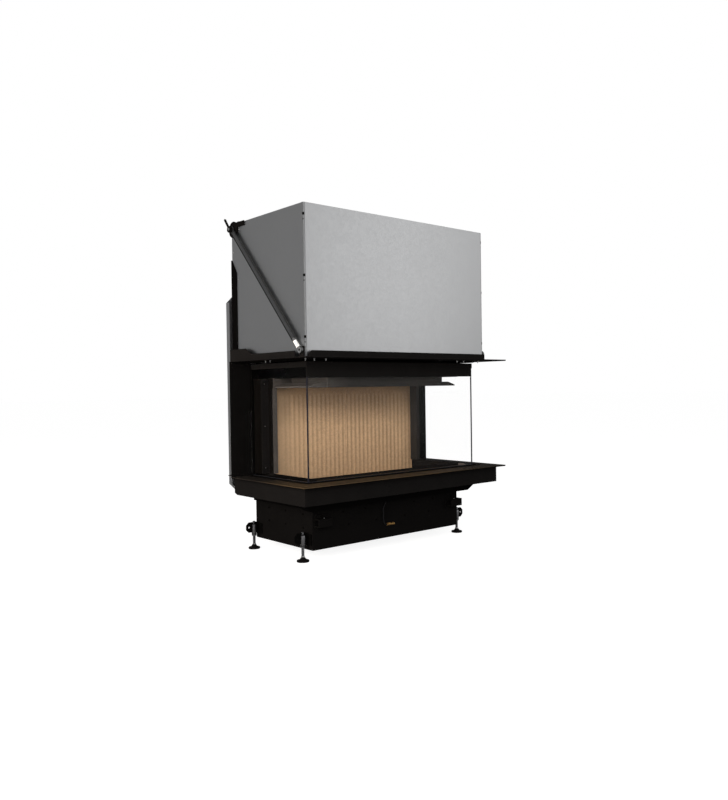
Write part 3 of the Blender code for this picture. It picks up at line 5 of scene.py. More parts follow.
import bmesh
import bpy
import numpy as np
from bpy.props import FloatProperty, FloatVectorProperty, IntProperty, PointerProperty
from bpy.types import Operator, Panel, PropertyGroup
from mathutils import Matrix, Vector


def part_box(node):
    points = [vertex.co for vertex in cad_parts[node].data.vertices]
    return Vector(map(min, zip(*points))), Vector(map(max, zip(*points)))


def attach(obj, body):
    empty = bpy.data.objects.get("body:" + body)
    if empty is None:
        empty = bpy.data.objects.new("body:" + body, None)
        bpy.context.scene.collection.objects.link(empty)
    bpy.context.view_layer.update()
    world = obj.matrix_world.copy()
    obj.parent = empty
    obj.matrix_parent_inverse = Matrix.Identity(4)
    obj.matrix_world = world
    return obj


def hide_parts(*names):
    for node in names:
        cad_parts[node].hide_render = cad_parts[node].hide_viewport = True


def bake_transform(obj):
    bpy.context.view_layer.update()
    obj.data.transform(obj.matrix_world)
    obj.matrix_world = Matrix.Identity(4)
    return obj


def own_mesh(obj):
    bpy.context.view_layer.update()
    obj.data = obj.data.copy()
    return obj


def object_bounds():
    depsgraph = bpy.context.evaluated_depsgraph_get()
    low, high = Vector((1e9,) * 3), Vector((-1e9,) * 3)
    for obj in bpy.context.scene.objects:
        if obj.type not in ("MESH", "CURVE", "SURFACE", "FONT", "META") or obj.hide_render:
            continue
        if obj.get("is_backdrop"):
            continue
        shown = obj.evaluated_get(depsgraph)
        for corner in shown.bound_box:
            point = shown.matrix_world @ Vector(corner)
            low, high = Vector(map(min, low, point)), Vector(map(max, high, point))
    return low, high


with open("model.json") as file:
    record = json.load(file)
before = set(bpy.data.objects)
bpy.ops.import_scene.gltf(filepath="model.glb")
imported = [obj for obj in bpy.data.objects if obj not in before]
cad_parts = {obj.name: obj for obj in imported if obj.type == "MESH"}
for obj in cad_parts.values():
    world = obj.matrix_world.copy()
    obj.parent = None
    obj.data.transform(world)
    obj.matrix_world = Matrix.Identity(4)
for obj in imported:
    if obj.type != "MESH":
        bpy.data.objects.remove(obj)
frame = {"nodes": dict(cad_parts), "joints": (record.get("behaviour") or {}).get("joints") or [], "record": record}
CAD_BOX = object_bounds()

bl_info = {
    "name": "Wood-burning fireplace insert",
    "version": (1, 0, 0),
    "blender": (4, 5, 0),
    "location": "View3D > Sidebar > Fireplace",
    "description": "Dresses the packed fireplace insert with finishes, fasteners, ropes and a studio",
    "category": "Add Mesh",
}

SIDES = {"left": -1, "right": 1}
LEFT = np.array((-1.0, 0.0, 0.0))
FORWARD = np.array((0.0, -1.0, 0.0))
BACK = np.array((0.0, 1.0, 0.0))
UP = np.array((0.0, 0.0, 1.0))
FULL_TURN = 2 * math.pi
# How far a shape starts under the face that it stands on
SUNK = 0.0002


def corner(node, end):
    """The lowest (0) or highest (1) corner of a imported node, as an array."""
    return np.array(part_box(node)[end])


def ends(node):
    """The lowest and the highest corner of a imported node."""
    return corner(node, 0), corner(node, 1)


def middle(node):
    """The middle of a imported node: half the sum of its corners."""
    return (corner(node, 0) + corner(node, 1)) / 2


def half_width(node):
    """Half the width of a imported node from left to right, which is a round one's radius."""
    return (corner(node, 1)[0] - corner(node, 0)[0]) / 2


HOOD_LOW, HOOD_HIGH = ends("hood_front_panel")
BASE_LOW, BASE_HIGH = ends("base_box")
# The pulley shaft's axis, and the middle of the tie bars' lower eyes, as (Y, Z)
SHAFT_LINE = middle("pulley_shaft")[1:]
TIE_EYE = 0.015
TIE_FOOT = corner("tie_bar_left", 0)[1:] + TIE_EYE


def depth(behind):
    """The Y of a depth behind the jacket's front face."""
    return HOOD_LOW[1] + behind


# Finishes


class Link:
    """An output socket. Arithmetic on it adds Math nodes to its tree, and node() adds any other."""

    def __init__(self, socket):
        self.socket = socket

    @classmethod
    def node(cls, tree, kind, settings=None, values=None, output=0):
        """Add a node of a type, set it up, then fill its sockets with values or links."""
        made = tree.nodes.new(kind)
        for name, setting in (settings or {}).items():
            setattr(made, name, setting)
        for key, value in (values or {}).items():
            if isinstance(value, Link):
                tree.links.new(value.socket, made.inputs[key])
            else:
                made.inputs[key].default_value = value
        return cls(made.outputs[output])

    def maths(self, operation, *values):
        tree = self.socket.id_data
        return Link.node(tree, "ShaderNodeMath", {"operation": operation}, dict(enumerate(values)))

    def __add__(self, other):
        return self.maths("ADD", self, other)

    def __radd__(self, other):
        return self.maths("ADD", other, self)

    def __sub__(self, other):
        return self.maths("SUBTRACT", self, other)

    def __rsub__(self, other):
        return self.maths("SUBTRACT", other, self)

    def __mul__(self, other):
        return self.maths("MULTIPLY", self, other)

    def __rmul__(self, other):
        return self.maths("MULTIPLY", other, self)

    def __truediv__(self, other):
        return self.maths("DIVIDE", self, other)

    def __gt__(self, other):
        return self.maths("GREATER_THAN", self, other)

    def clamped(self):
        """No less than 0 and no more than 1."""
        return self.maths("MINIMUM", self.maths("MAXIMUM", self, 0.0), 1.0)

    def ramp(self, low, high):
        """0 at a first value and 1 at a second one, straight between them and level beyond."""
        return ((self - low) / (high - low)).clamped()


class Finish:
    """A material being made: its tree, its Principled shader and its object coordinates."""

    def __init__(self, name, **constants):
        self.material = bpy.data.materials.new(name)
        self.material.use_nodes = True
        self.tree = self.material.node_tree
        self.shader = self.tree.nodes["Principled BSDF"]
        for socket, value in constants.items():
            self.feed(socket.replace("_", " ").title().replace("Ior", "IOR"), value)
        self.place = self.node("ShaderNodeTexCoord", output="Object")

    def node(self, kind, settings=None, values=None, output=0):
        return Link.node(self.tree, kind, settings, values, output)

    def feed(self, socket, value):
        if isinstance(value, Link):
            self.tree.links.new(value.socket, self.shader.inputs[socket])
        else:
            self.shader.inputs[socket].default_value = value

    def stretched(self, scale):
        """Object coordinates, stretched where a scale is given."""
        if scale is None:
            return self.place
        return self.node("ShaderNodeMapping", values={"Vector": self.place, "Scale": scale})

    def turned(self, centre, turn):
        """Object coordinates about a centre, turned back by a rotation."""
        values = {"Vector": self.place, "Location": centre, "Rotation": turn}
        return self.node("ShaderNodeMapping", {"vector_type": "TEXTURE"}, values)

    def noise(self, scale, detail=2.0, stretch=None):
        values = {"Vector": self.stretched(stretch), "Scale": scale, "Detail": detail}
        return self.node("ShaderNodeTexNoise", values=values)

    def voronoi(self, scale, output, stretch=None):
        values = {"Vector": self.stretched(stretch), "Scale": scale}
        return self.node("ShaderNodeTexVoronoi", values=values, output=output)

    def cells(self, scale, stretch=None):
        """A random value for each cell of a Voronoi pattern."""
        return self.node("ShaderNodeSeparateColor", values={0: self.voronoi(scale, "Color", stretch)})

    def pits(self, scale):
        """The distance from the middle of each cell of a Voronoi pattern."""
        return self.voronoi(scale, "Distance")

    def axis(self, name, vector=None):
        """One number of a vector, or of the object coordinates."""
        return self.node("ShaderNodeSeparateXYZ", values={0: vector or self.place}, output=name)

    def facing(self, name):
        """How far the surface faces along an axis."""
        return self.axis(name, self.node("ShaderNodeNewGeometry", output="Normal"))

    def grazing(self):
        """0 where the surface is seen square on, and 1 at its outline."""
        return self.node("ShaderNodeLayerWeight", values={"Blend": 0.5}, output="Facing")

    def blend(self, factor, first, second):
        """From a first colour to a second one."""
        sockets = {0: factor, 6: shade(first), 7: shade(second)}
        return self.node("ShaderNodeMix", {"data_type": "RGBA"}, sockets, output=2)

    def finished(self, colour, roughness, bump=None):
        """The material with its colour, its roughness and a bump of (height, strength, distance)."""
        self.feed("Base Color", colour)
        self.feed("Roughness", roughness)
        if bump:
            values = dict(zip(("Height", "Strength", "Distance"), bump))
            self.feed("Normal", self.node("ShaderNodeBump", values=values))
        return self.material


def shade(colour, share=1.0):
    """A colour with its fourth number, made lighter or darker by a share."""
    if isinstance(colour, Link):
        return colour
    return (*(share * part for part in tuple(colour)[:3]), 1.0)


def galvanised(name, colour):
    """Rolled zinc-coated sheet: faint spangle, long rolling streaks and slow clouding."""
    made = Finish(name, metallic=1.0)
    spangle = made.cells(95)
    cloud = made.noise(2.6, 3)
    streak = made.noise(9, 3, (1, 1, 0.05))
    mixed = 0.30 * spangle + 0.35 * cloud + 0.35 * streak
    tone = made.blend(mixed, shade(colour, 0.95), shade(colour, 1.05))
    return made.finished(tone, 0.36 + 0.05 * spangle + 0.04 * cloud, (cloud, 0.03, 0.002))


def black_paint(name, colour, roughness=0.5, warm=None):
    """Matt heat-resistant paint: fine orange peel, slight mottling and dust where it faces up.

    A warm colour, if given, is painted sheen over the front, most of all at its left and its middle.
    """
    made = Finish(name, specular_ior_level=0.01)
    mottle = made.noise(14, 4)
    peel = made.noise(900)
    dust = made.facing("Z").ramp(0.6, 1.0) * made.noise(5, 4).ramp(0.42, 0.75)
    tone = made.blend(mottle, shade(colour, 0.8), shade(colour, 1.25))
    # Painted sheen: a warm colour over the front stands in for the reflection on a glossy top
    if warm:
        near = made.axis("Y").ramp(0.0, -0.22) * made.axis("X").ramp(0.55, 0.1)
        tone = made.blend(near, tone, warm)
    tone = made.blend(0.4 * dust, tone, (0.030, 0.027, 0.024))
    return made.finished(tone, roughness + 0.12 * mottle + 0.1 * dust, (peel, 0.03, 0.0004))


def heat_grey(name, colour, soot, left, crease=0.0):
    """Steel that the fire has greyed: brown-grey clouds, and painted light towards the left end.

    A share, if given, paints shade over the faces that look left, in the soot colour at a twentieth.
    """
    made = Finish(name, specular_ior_level=0.02)
    cloud = made.noise(7, 3).ramp(0.35, 0.65)
    fine = made.noise(120, 3)
    tone = made.blend(cloud, shade(colour, 0.93), shade(colour, 1.07))
    tone = made.blend(0.2 * made.noise(3.5).ramp(0.5, 0.75), tone, soot)
    # Painted light towards the left end: the colour turns to the left one, lighter or darker by how the light
    # falls on that side
    tone = made.blend(made.axis("X").ramp(-0.22, -0.40), tone, left)
    # Painted shade: faces that look left go nearly black
    if crease:
        tone = made.blend(crease * made.facing("X").ramp(-0.5, -0.9), tone, shade(soot, 0.05))
    return made.finished(tone, 0.6 + 0.2 * fine, (fine, 0.06, 0.0004))


def fireclay(name, colour, soot):
    """Fired clay: sandy speckle, open pores, slow colour drift, a left paled by painted light, and soot with
    painted shade at both ends.
    """
    made = Finish(name, specular_ior_level=0.2)
    drift = made.noise(5, 3)
    sand = made.noise(420, 3)
    pore = (1.0 - made.pits(240).ramp(0.05, 0.30)) * (made.cells(240) > 0.72)
    tone = made.blend(drift.ramp(0.3, 0.7), shade(colour, 0.92), shade(colour, 1.06))
    for share, other in (
        (0.55 * made.cells(150), shade(colour, 0.62)),
        (0.5 * sand.ramp(0.45, 0.75), shade(colour, 0.72)),
        (0.55 * pore, shade(colour, 0.35)),
        # Painted light: the left end paler, where the rib keeps the studio light off
        (0.45 * made.axis("X").ramp(-0.15, -0.42), shade(colour, 1.35)),
        # Darker towards the bottom: soot in the grooves, and painted shade
        (made.axis("Z").ramp(0.47, 0.37) * (0.05 + 0.20 * drift), soot),
        # Darker towards the top: soot, and painted shade under the throat
        (made.axis("Z").ramp(0.54, 0.65) * (0.22 + 0.32 * drift), soot),
    ):
        tone = made.blend(share, tone, other)
    return made.finished(tone, 0.85 + 0.1 * sand, (0.6 * sand + drift - 0.9 * pore, 0.35, 0.0012))


def vermiculite(name, colour):
    """Pressed board of golden flakes."""
    made = Finish(name, specular_ior_level=0.3)
    flake = made.cells(260, (1, 1, 2.2))
    tone = made.blend(flake, shade(colour, 0.6), shade(colour, 1.35))
    return made.finished(tone, 0.95 - 0.4 * (flake > 0.9), (flake, 0.3, 0.001))


def clear_glass(name):
    """A mirror whose alpha is a share of what glass reflects, so that light passes through the rest."""
    made = Finish(name, metallic=1.0)
    grazing = made.grazing()
    mirror = 0.04 + 0.96 * grazing.maths("POWER", grazing, 5.0)
    smear = made.noise(3, 4).ramp(0.45, 0.8)
    made.feed("Alpha", (0.12 * mirror + 0.001 * smear).clamped())
    return made.finished(shade((0.9, 0.93, 0.92)), 0.14 + 0.05 * smear)


def bright_steel(name, colour, roughness, rim=0.0):
    """Plated or bright metal: fine lines and a slight cloud, and painted shade towards its outline by a share."""
    made = Finish(name, metallic=1.0)
    line = made.noise(300, 3, (1, 1, 0.1))
    tone = made.blend(made.noise(40, 3), shade(colour, 0.85), shade(colour, 1.05))
    # Painted shade towards the outline, as the dark edges of a round bright part
    if rim:
        grazing = made.grazing()
        tone = made.blend(rim * grazing * grazing, tone, shade(colour, 0.05))
    return made.finished(tone, roughness + 0.14 * line, (line, 0.06, 0.0003))


def raw_steel(name, colour):
    """Rolled steel with patches of mill scale."""
    made = Finish(name, metallic=1.0)
    scale = made.noise(30, 5).ramp(0.42, 0.58)
    tone = made.blend(scale, shade(colour, 0.5), shade(colour, 1.2))
    return made.finished(tone, 0.35 + 0.3 * scale, (scale, 0.25, 0.0005))


def plain_rubber(name, colour, roughness=0.6):
    """Moulded rubber or plastic with a fine grain."""
    made = Finish(name, specular_ior_level=0.15)
    grain = made.noise(500, 3)
    tone = made.blend(grain, shade(colour, 0.8), shade(colour, 1.2))
    return made.finished(tone, roughness + 0.15 * grain, (grain, 0.15, 0.0003))


def tie_steel(name, colour):
    """The tie bar: grey satin with a black band of painted shade along its lower edge."""
    made = Finish(name, specular_ior_level=0.05)
    rise = SHAFT_LINE - TIE_FOOT
    across = made.axis("Z", made.turned((0, *SHAFT_LINE), (math.atan2(rise[1], rise[0]), 0, 0)))
    # Painted shade: a black band along the lower edge
    band = (across * -1.0).ramp(0.0042, 0.0050)
    cloud = made.noise(18, 3)
    grey = made.blend(cloud, shade(colour, 0.7), shade(colour, 0.95))
    made.feed("Metallic", 1.0 - band)
    return made.finished(made.blend(band, grey, (0.01, 0.01, 0.011)), 0.42 + 0.1 * cloud)


MATERIALS = {}

# Imported nodes whose finish differs from their slot's, by how their names start
# Lighter and darker copies of the black paint and of the galvanised sheet among them are painted light and painted
# shade
NODE_FINISHES = {
    "tie_bar": "tie_steel",
    "hearth_pan": "inner_black",
    "firebox_back": "cheek",
    "counterweight_duct": "duct_sheet",
    "upper_frame": "frame_black",
    "door_top_bar": "frame_black",
    "shelf_plate": "shelf_black",
    "shelf_apron": "apron_black",
    "door_stile": "deep_black",
    "trough": "deep_black",
    "rear_upright": "deep_black",
    "flue_dome": "deep_black",
    "leg_bracket": "deep_black",
}

# The record's slots of finishes that have none of their own
SLOTS = {
    "deep_black": "black_paint",
    "dark_mark": "black_paint",
    "glass_joint": "black_paint",
    "gasket": "black_paint",
    "pad_rubber": "black_paint",
    "strip_grey": "heat_grey",
    "spindle": "zinc_steel",
    "white_sleeve": "zinc_steel",
}


# Shapes


def surface_quads(rows, columns, around=False, along=False):
    """Quads between neighbouring points of a grid, closed across it or along it if asked."""
    row, column = np.meshgrid(
        np.arange(rows if along else rows - 1),
        np.arange(columns if around else columns - 1),
        indexing="ij",
    )
    next_row = (row + 1) % rows
    next_column = (column + 1) % columns
    corners = (
        row * columns + column,
        row * columns + next_column,
        next_row * columns + next_column,
        next_row * columns + column,
    )
    return np.stack(corners, -1).reshape(-1, 4)


def solid_of(grid, along=False):
    """A closed solid from rings of points: quads between rings, and the first and last as faces."""
    rows, columns, _ = grid.shape
    faces = surface_quads(rows, columns, around=True, along=along).tolist()
    if not along:
        first = np.arange(columns)
        faces.append(first[::-1].tolist())
        faces.append((first + (rows - 1) * columns).tolist())
    return grid.reshape(-1, 3), faces


def layered(front, rear):
    """A closed solid between two grids of the same shape, joined round their rims."""
    rows, columns, _ = front.shape
    count = rows * columns
    face = surface_quads(rows, columns)
    index = np.arange(count).reshape(rows, columns)
    rim = np.concatenate((index[0, :-1], index[:-1, -1], index[-1, :0:-1], index[:0:-1, 0]))
    after = np.roll(rim, -1)
    wall = np.stack((rim, rim + count, after + count, after), -1)
    faces = np.concatenate((face, face[:, ::-1] + count, wall))
    return np.concatenate((front.reshape(-1, 3), rear.reshape(-1, 3))), faces.tolist()


def outward(points, faces):
    """Faces turned outwards: the sum of each one's corner volumes is the solid's, with its sign."""
    fans = [(face[0], face[step], face[step + 1]) for face in faces for step in range(1, len(face) - 1)]
    fan = points[np.array(fans)]
    volume = np.einsum("ij,ij->i", fan[:, 0], np.cross(fan[:, 1], fan[:, 2])).sum()
    if volume >= 0:
        return faces
    return [face[::-1] for face in faces]


def piece(name, shapes, finish, body="frame", smooth=None, bevel=0.0, replaces=()):
    """One mesh of closed shapes, dressed, riding on a body, with its place in its mesh."""
    points = []
    faces = []
    start = 0
    for shape_points, shape_faces in shapes:
        points.append(shape_points)
        faces += [[index + start for index in face] for face in outward(shape_points, shape_faces)]
        start += len(shape_points)
    mesh = bpy.data.meshes.new(name)
    mesh.from_pydata(np.concatenate(points).tolist(), [], faces)
    form = bmesh.new()
    form.from_mesh(mesh)
    bmesh.ops.remove_doubles(form, verts=form.verts, dist=1e-6)
    form.to_mesh(mesh)
    form.free()
    mesh.materials.append(MATERIALS[finish])
    made = bpy.data.objects.new(name, mesh)
    bpy.context.scene.collection.objects.link(made)
    if bevel:
        edge = made.modifiers.new("edge", "BEVEL")
        edge.width = bevel
        edge.segments = 2
        edge.limit_method = "ANGLE"
        edge.angle_limit = math.radians(40)
    if smooth:
        mesh.shade_smooth()
        mesh.set_sharp_from_angle(angle=math.radians(smooth))
    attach(made, body)
    SLOTS.get(finish, finish)
    if replaces:
        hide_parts(*replaces)
    return made


def turns(steps, start=0.0):
    """Equal turns round a circle."""
    return start + np.linspace(0, FULL_TURN, steps, endpoint=False)


def circle(radius, steps, start=0.0):
    """Points round a circle: the radius * (cos turn, sin turn) at each of its turns."""
    turn = turns(steps, start)
    return np.stack((radius * np.cos(turn), radius * np.sin(turn)), -1)


def unit(vectors):
    """Vectors of length one: each one over its own length."""
    return vectors / np.linalg.norm(vectors, axis=-1, keepdims=True)


def basis(direction):
    """Two directions square to a direction, and the direction itself, as rows."""
    along = unit(np.asarray(direction, float))
    guide = UP if abs(along[2]) < 0.9 else -LEFT
    across = unit(np.cross(guide, along))
    return np.array((across, np.cross(along, across), along))


def about(place, direction, radius, turn, height):
    """The place + radius * (cos turn, sin turn) square to the direction + height along it."""
    local = (radius * np.cos(turn), radius * np.sin(turn), np.broadcast_to(height, radius.shape))
    return np.asarray(place) + np.stack(local, -1) @ basis(direction)


def turned(profile, place, direction, steps=32):
    """A profile turned about an axis: rows of (radius, height) or (radius, height, share of hexagon).

    A hexagon's radius is its half width over the cosine of the turn from its nearest flat. The
    solid is closed by its poles, or it is a ring where the profile keeps off the axis.
    """
    rows = np.array([(*row, 0.0)[:3] for row in profile])
    turn = turns(steps)
    sector = FULL_TURN / 6
    flat = 1 / np.cos((turn % sector) - sector / 2)
    radius = rows[:, :1] * (1 + rows[:, 2:] * (flat - 1))
    has_poles = max(abs(rows[0, 0]), abs(rows[-1, 0])) < 1e-9
    return solid_of(about(place, direction, radius, turn, rows[:, 1:2]), along=not has_poles)


def heads(name, shares, radius, groups, finish, steps=16, smooth=50):
    """One mesh of like heads, of which a group is its places and the direction that they face.

    A head is a solid of revolution with its profile in shares of its radius.
    """
    profile = [(row[0] * radius, row[1] * radius, *row[2:]) for row in shares]
    shapes = [turned(profile, place, direction, steps) for places, direction in groups for place in places]
    piece(name, shapes, finish, smooth=smooth)


def swept(path, section, up=UP):
    """A section carried along a path that lies square to up, mitred at its corners.

    A point is the path's point + the section's first number sideways + its second number up, and
    the sideways step is longer at a corner by one over the cosine of half its turn.
    """
    path = np.asarray(path, float)
    section = np.asarray(section, float)
    side = np.cross(unit(np.diff(path, axis=0)), up)
    before = np.concatenate((side[:1], side))
    after = np.concatenate((side, side[-1:]))
    mitre = (before + after) / (1 + (before * after).sum(1))[:, None]
    grid = path[:, None] + mitre[:, None] * section[None, :, :1] + np.asarray(up) * section[None, :, 1:]
    return solid_of(grid)


def oblong(low_side, low_up, high_side, high_up):
    """The four corners of an oblong section, from its lowest one and round."""
    return [(low_side, low_up), (high_side, low_up), (high_side, high_up), (low_side, high_up)]


def three_sided(side, front, rear, level=0.0):
    """A path in plan from the rear left round both front corners to the rear right."""
    return [(-side, rear, level), (-side, front, level), (side, front, level), (side, rear, level)]


def rounded(path, radius, steps=6):
    """A path of points with its inner corners rounded: each corner is an arc met at both tangents."""
    path = np.asarray(path, float)
    corners = path[1:-1]
    back = unit(path[:-2] - corners)
    ahead = unit(path[2:] - corners)
    half = np.arccos(np.clip((back * ahead).sum(1), -1, 1)) / 2
    tangent = (radius / np.tan(half))[:, None]
    centre = corners + unit(back + ahead) * (radius / np.sin(half))[:, None]
    start = (corners + back * tangent - centre)[:, None]
    end = (corners + ahead * tangent - centre)[:, None]
    share = np.linspace(0, 1, steps + 1)[None, :, None]
    sweep = (math.pi - 2 * half)[:, None, None]
    arc = (np.sin((1 - share) * sweep) * start + np.sin(share * sweep) * end) / np.sin(sweep)
    return np.concatenate((path[:1], (centre[:, None] + arc).reshape(-1, 3), path[-1:]))


def rope(path, radius, lay, steps=18):
    """A laid rope: six strands, each a bulge in the radius that winds round once in each lay.

    The radius is its full size * (0.84 + 0.16 * |cos(3 * (turn - winding))|), where the winding is
    2 pi * the distance along the path over the lay.
    """
    run = unit(np.gradient(path, axis=0))
    step = np.linalg.norm(np.diff(path, axis=0), axis=1)
    distance = np.concatenate(((0,), np.cumsum(step)))
    up = np.cross(run, LEFT)
    turn = turns(steps)[None]
    winding = FULL_TURN * distance[:, None] / lay
    size = radius * (0.84 + 0.16 * np.abs(np.cos(3 * (turn - winding))))
    grid = path[:, None] + (size * np.cos(turn))[..., None] * LEFT
    return solid_of(grid + (size * np.sin(turn))[..., None] * up[:, None])


def threaded(place, direction, radius, low, high, pitch):
    """A screw thread: the radius less a cut that rises and falls once in each pitch round a helix.

    The cut's share is 1 - |1 - 2 * fraction(height / pitch - turn / 2 pi)|, faded out at the ends.
    """
    cut = 0.0006
    rows_a_turn = 6
    count = int((high - low) / pitch * rows_a_turn) + 1
    height = np.linspace(low, high, count)[:, None]
    turn = turns(20)[None]
    share = 1 - np.abs(1 - 2 * ((height / pitch - turn / FULL_TURN) % 1))
    fade = np.clip(np.minimum(height - low, high - height) / pitch, 0, 1)
    return solid_of(about(place, direction, radius - cut * share * fade, turn, height))


def upright(outline, *levels):
    """An outline in plan carried straight up through a list of levels."""
    grid = np.empty((len(levels), len(outline), 3))
    grid[..., :2] = outline
    grid[..., 2] = np.array(levels)[:, None]
    return solid_of(grid)


def lengthwise(outline, sign, front, rear):
    """An outline of (side, height), mirrored by a sign, carried from front to rear."""
    side, height = np.array(outline).T
    grid = np.stack(np.broadcast_arrays(sign * side, np.array(((front,), (rear,))), height), -1)
    return solid_of(grid)


# A rolled bead's section, and the heads of a rivet, a screw and a bolt in shares of their radius
BEAD = circle(0.0018, 10)
DOME = [(0, -0.2), (1, -0.2), (1, 0.12), (0.93, 0.38), (0.72, 0.66), (0.4, 0.84), (0, 0.9)]
SCREW = [(0, -0.2), (1, -0.2), (1, 0.25), (0.9, 0.5), (0.62, 0.66), (0.6, 0.34), (0, 0.34)]
HEX = [
    (0, -0.2, 0), (1.3, -0.2, 0), (1.3, 0.15, 0), (1.22, 0.2, 0), (0.86, 0.2, 1), (0.86, 0.75, 1),
    (0.8, 0.85, 0.6), (0.62, 0.9, 0), (0, 0.9, 0),
]
SHEET_SCREW = 0.0045


# What a user would change


def length(name, description, default, low, high):
    """A length that a user would change, with its limits."""
    return FloatProperty(
        name=name, description=description, default=default, min=low, max=high, unit="LENGTH",
    )


def tint(name, description, *default):
    """A colour that a user would change."""
    return FloatVectorProperty(
        name=name, description=description, default=default, size=3, min=0, max=1, subtype="COLOR",
    )


def glow(name, description, default, unit="NONE"):
    """A power or a strength of light that a user would change."""
    return FloatProperty(name=name, description=description, default=default, min=0.0, unit=unit)


class FireplaceSizes(PropertyGroup):
    """Sizes of the details."""

    corner_radius: length(
        "Corner radius", "Outer radius of the jacket's two front corners", 0.009, 0.003, 0.011,
    )
    rivet_radius: length("Rivet radius", "Radius of a rivet's head on the jacket", 0.0032, 0.001, 0.006)
    bolt_radius: length("Bolt radius", "Radius of a bolt's domed head on the base", 0.0046, 0.002, 0.008)
    flute_depth: length("Flute depth", "Depth of the grooves in the fireclay", 0.0016, 0.001, 0.005)
    flute_margin: length("Flute margin", "Plain height over the grooves in the fireclay", 0.024, 0.0, 0.1)
    flute_count: IntProperty(
        name="Flutes", description="Grooves in each half of the fireclay back", default=17, min=4, max=30,
    )
    rope_lay: length(
        "Rope lay", "Length in which a strand of the lifting rope winds round once", 0.020, 0.008, 0.05,
    )
    thread_pitch: length(
        "Thread pitch", "Pitch of the thread on the levelling feet and the tie rods", 0.002, 0.001, 0.004,
    )


class FireplaceColours(PropertyGroup):
    """Colours of the finishes."""

    galvanised: tint("Galvanised sheet", "Colour of the jacket's zinc", 0.52, 0.524, 0.53)
    black: tint("Black paint", "Colour of the heat-resistant paint", 0.0048, 0.0044, 0.0042)
    grey: tint("Heat-greyed steel", "Colour of the throat and the rib caps", 0.027, 0.024, 0.0215)
    clay: tint("Fireclay", "Colour of the back wall and the floor slab", 0.65, 0.43, 0.25)
    # Soot, also used for painted shade at the fireclay's ends and on the cheek's faces that look left
    soot: tint("Soot", "Colour of what the smoke leaves", 0.05, 0.04, 0.032)
    board: tint("Vermiculite", "Colour of the smoke baffle", 0.38, 0.30, 0.21)
    zinc: tint("Bright zinc", "Colour of the plated fasteners and rails", 0.72, 0.72, 0.71)
    brass: tint("Brass", "Colour of the cable's gland", 0.36, 0.21, 0.075)
    floor: tint("Floor", "Colour of the studio floor", 0.40, 0.40, 0.40)


class FireplaceStudio(PropertyGroup):
    """Lights of the studio."""

    key: glow("Right softbox", "Power of the softbox that the jacket's front mirrors", 34.0, "POWER")
    side: glow("Left softbox", "Power of the softbox on the left", 175.0, "POWER")
    front: glow("Front softbox", "Power of the softbox beside the camera", 63.0, "POWER")
    walls: glow("Walls", "Radiance of the pale walls that bright metal mirrors", 0.20)
    floor_glow: glow("Floor glow", "Light of its own with which the floor is seen", 0.88)
    room: glow("Room", "Strength of the light that comes from all round", 0.43)


class FireplaceStep(Operator):
    """A step of the dressing."""

    bl_options = {"REGISTER", "UNDO"}

    @property
    def sizes(self):
        return bpy.context.scene.fireplace_sizes

    @property
    def colours(self):
        return bpy.context.scene.fireplace_colours

    @property
    def studio(self):
        return bpy.context.scene.fireplace_studio


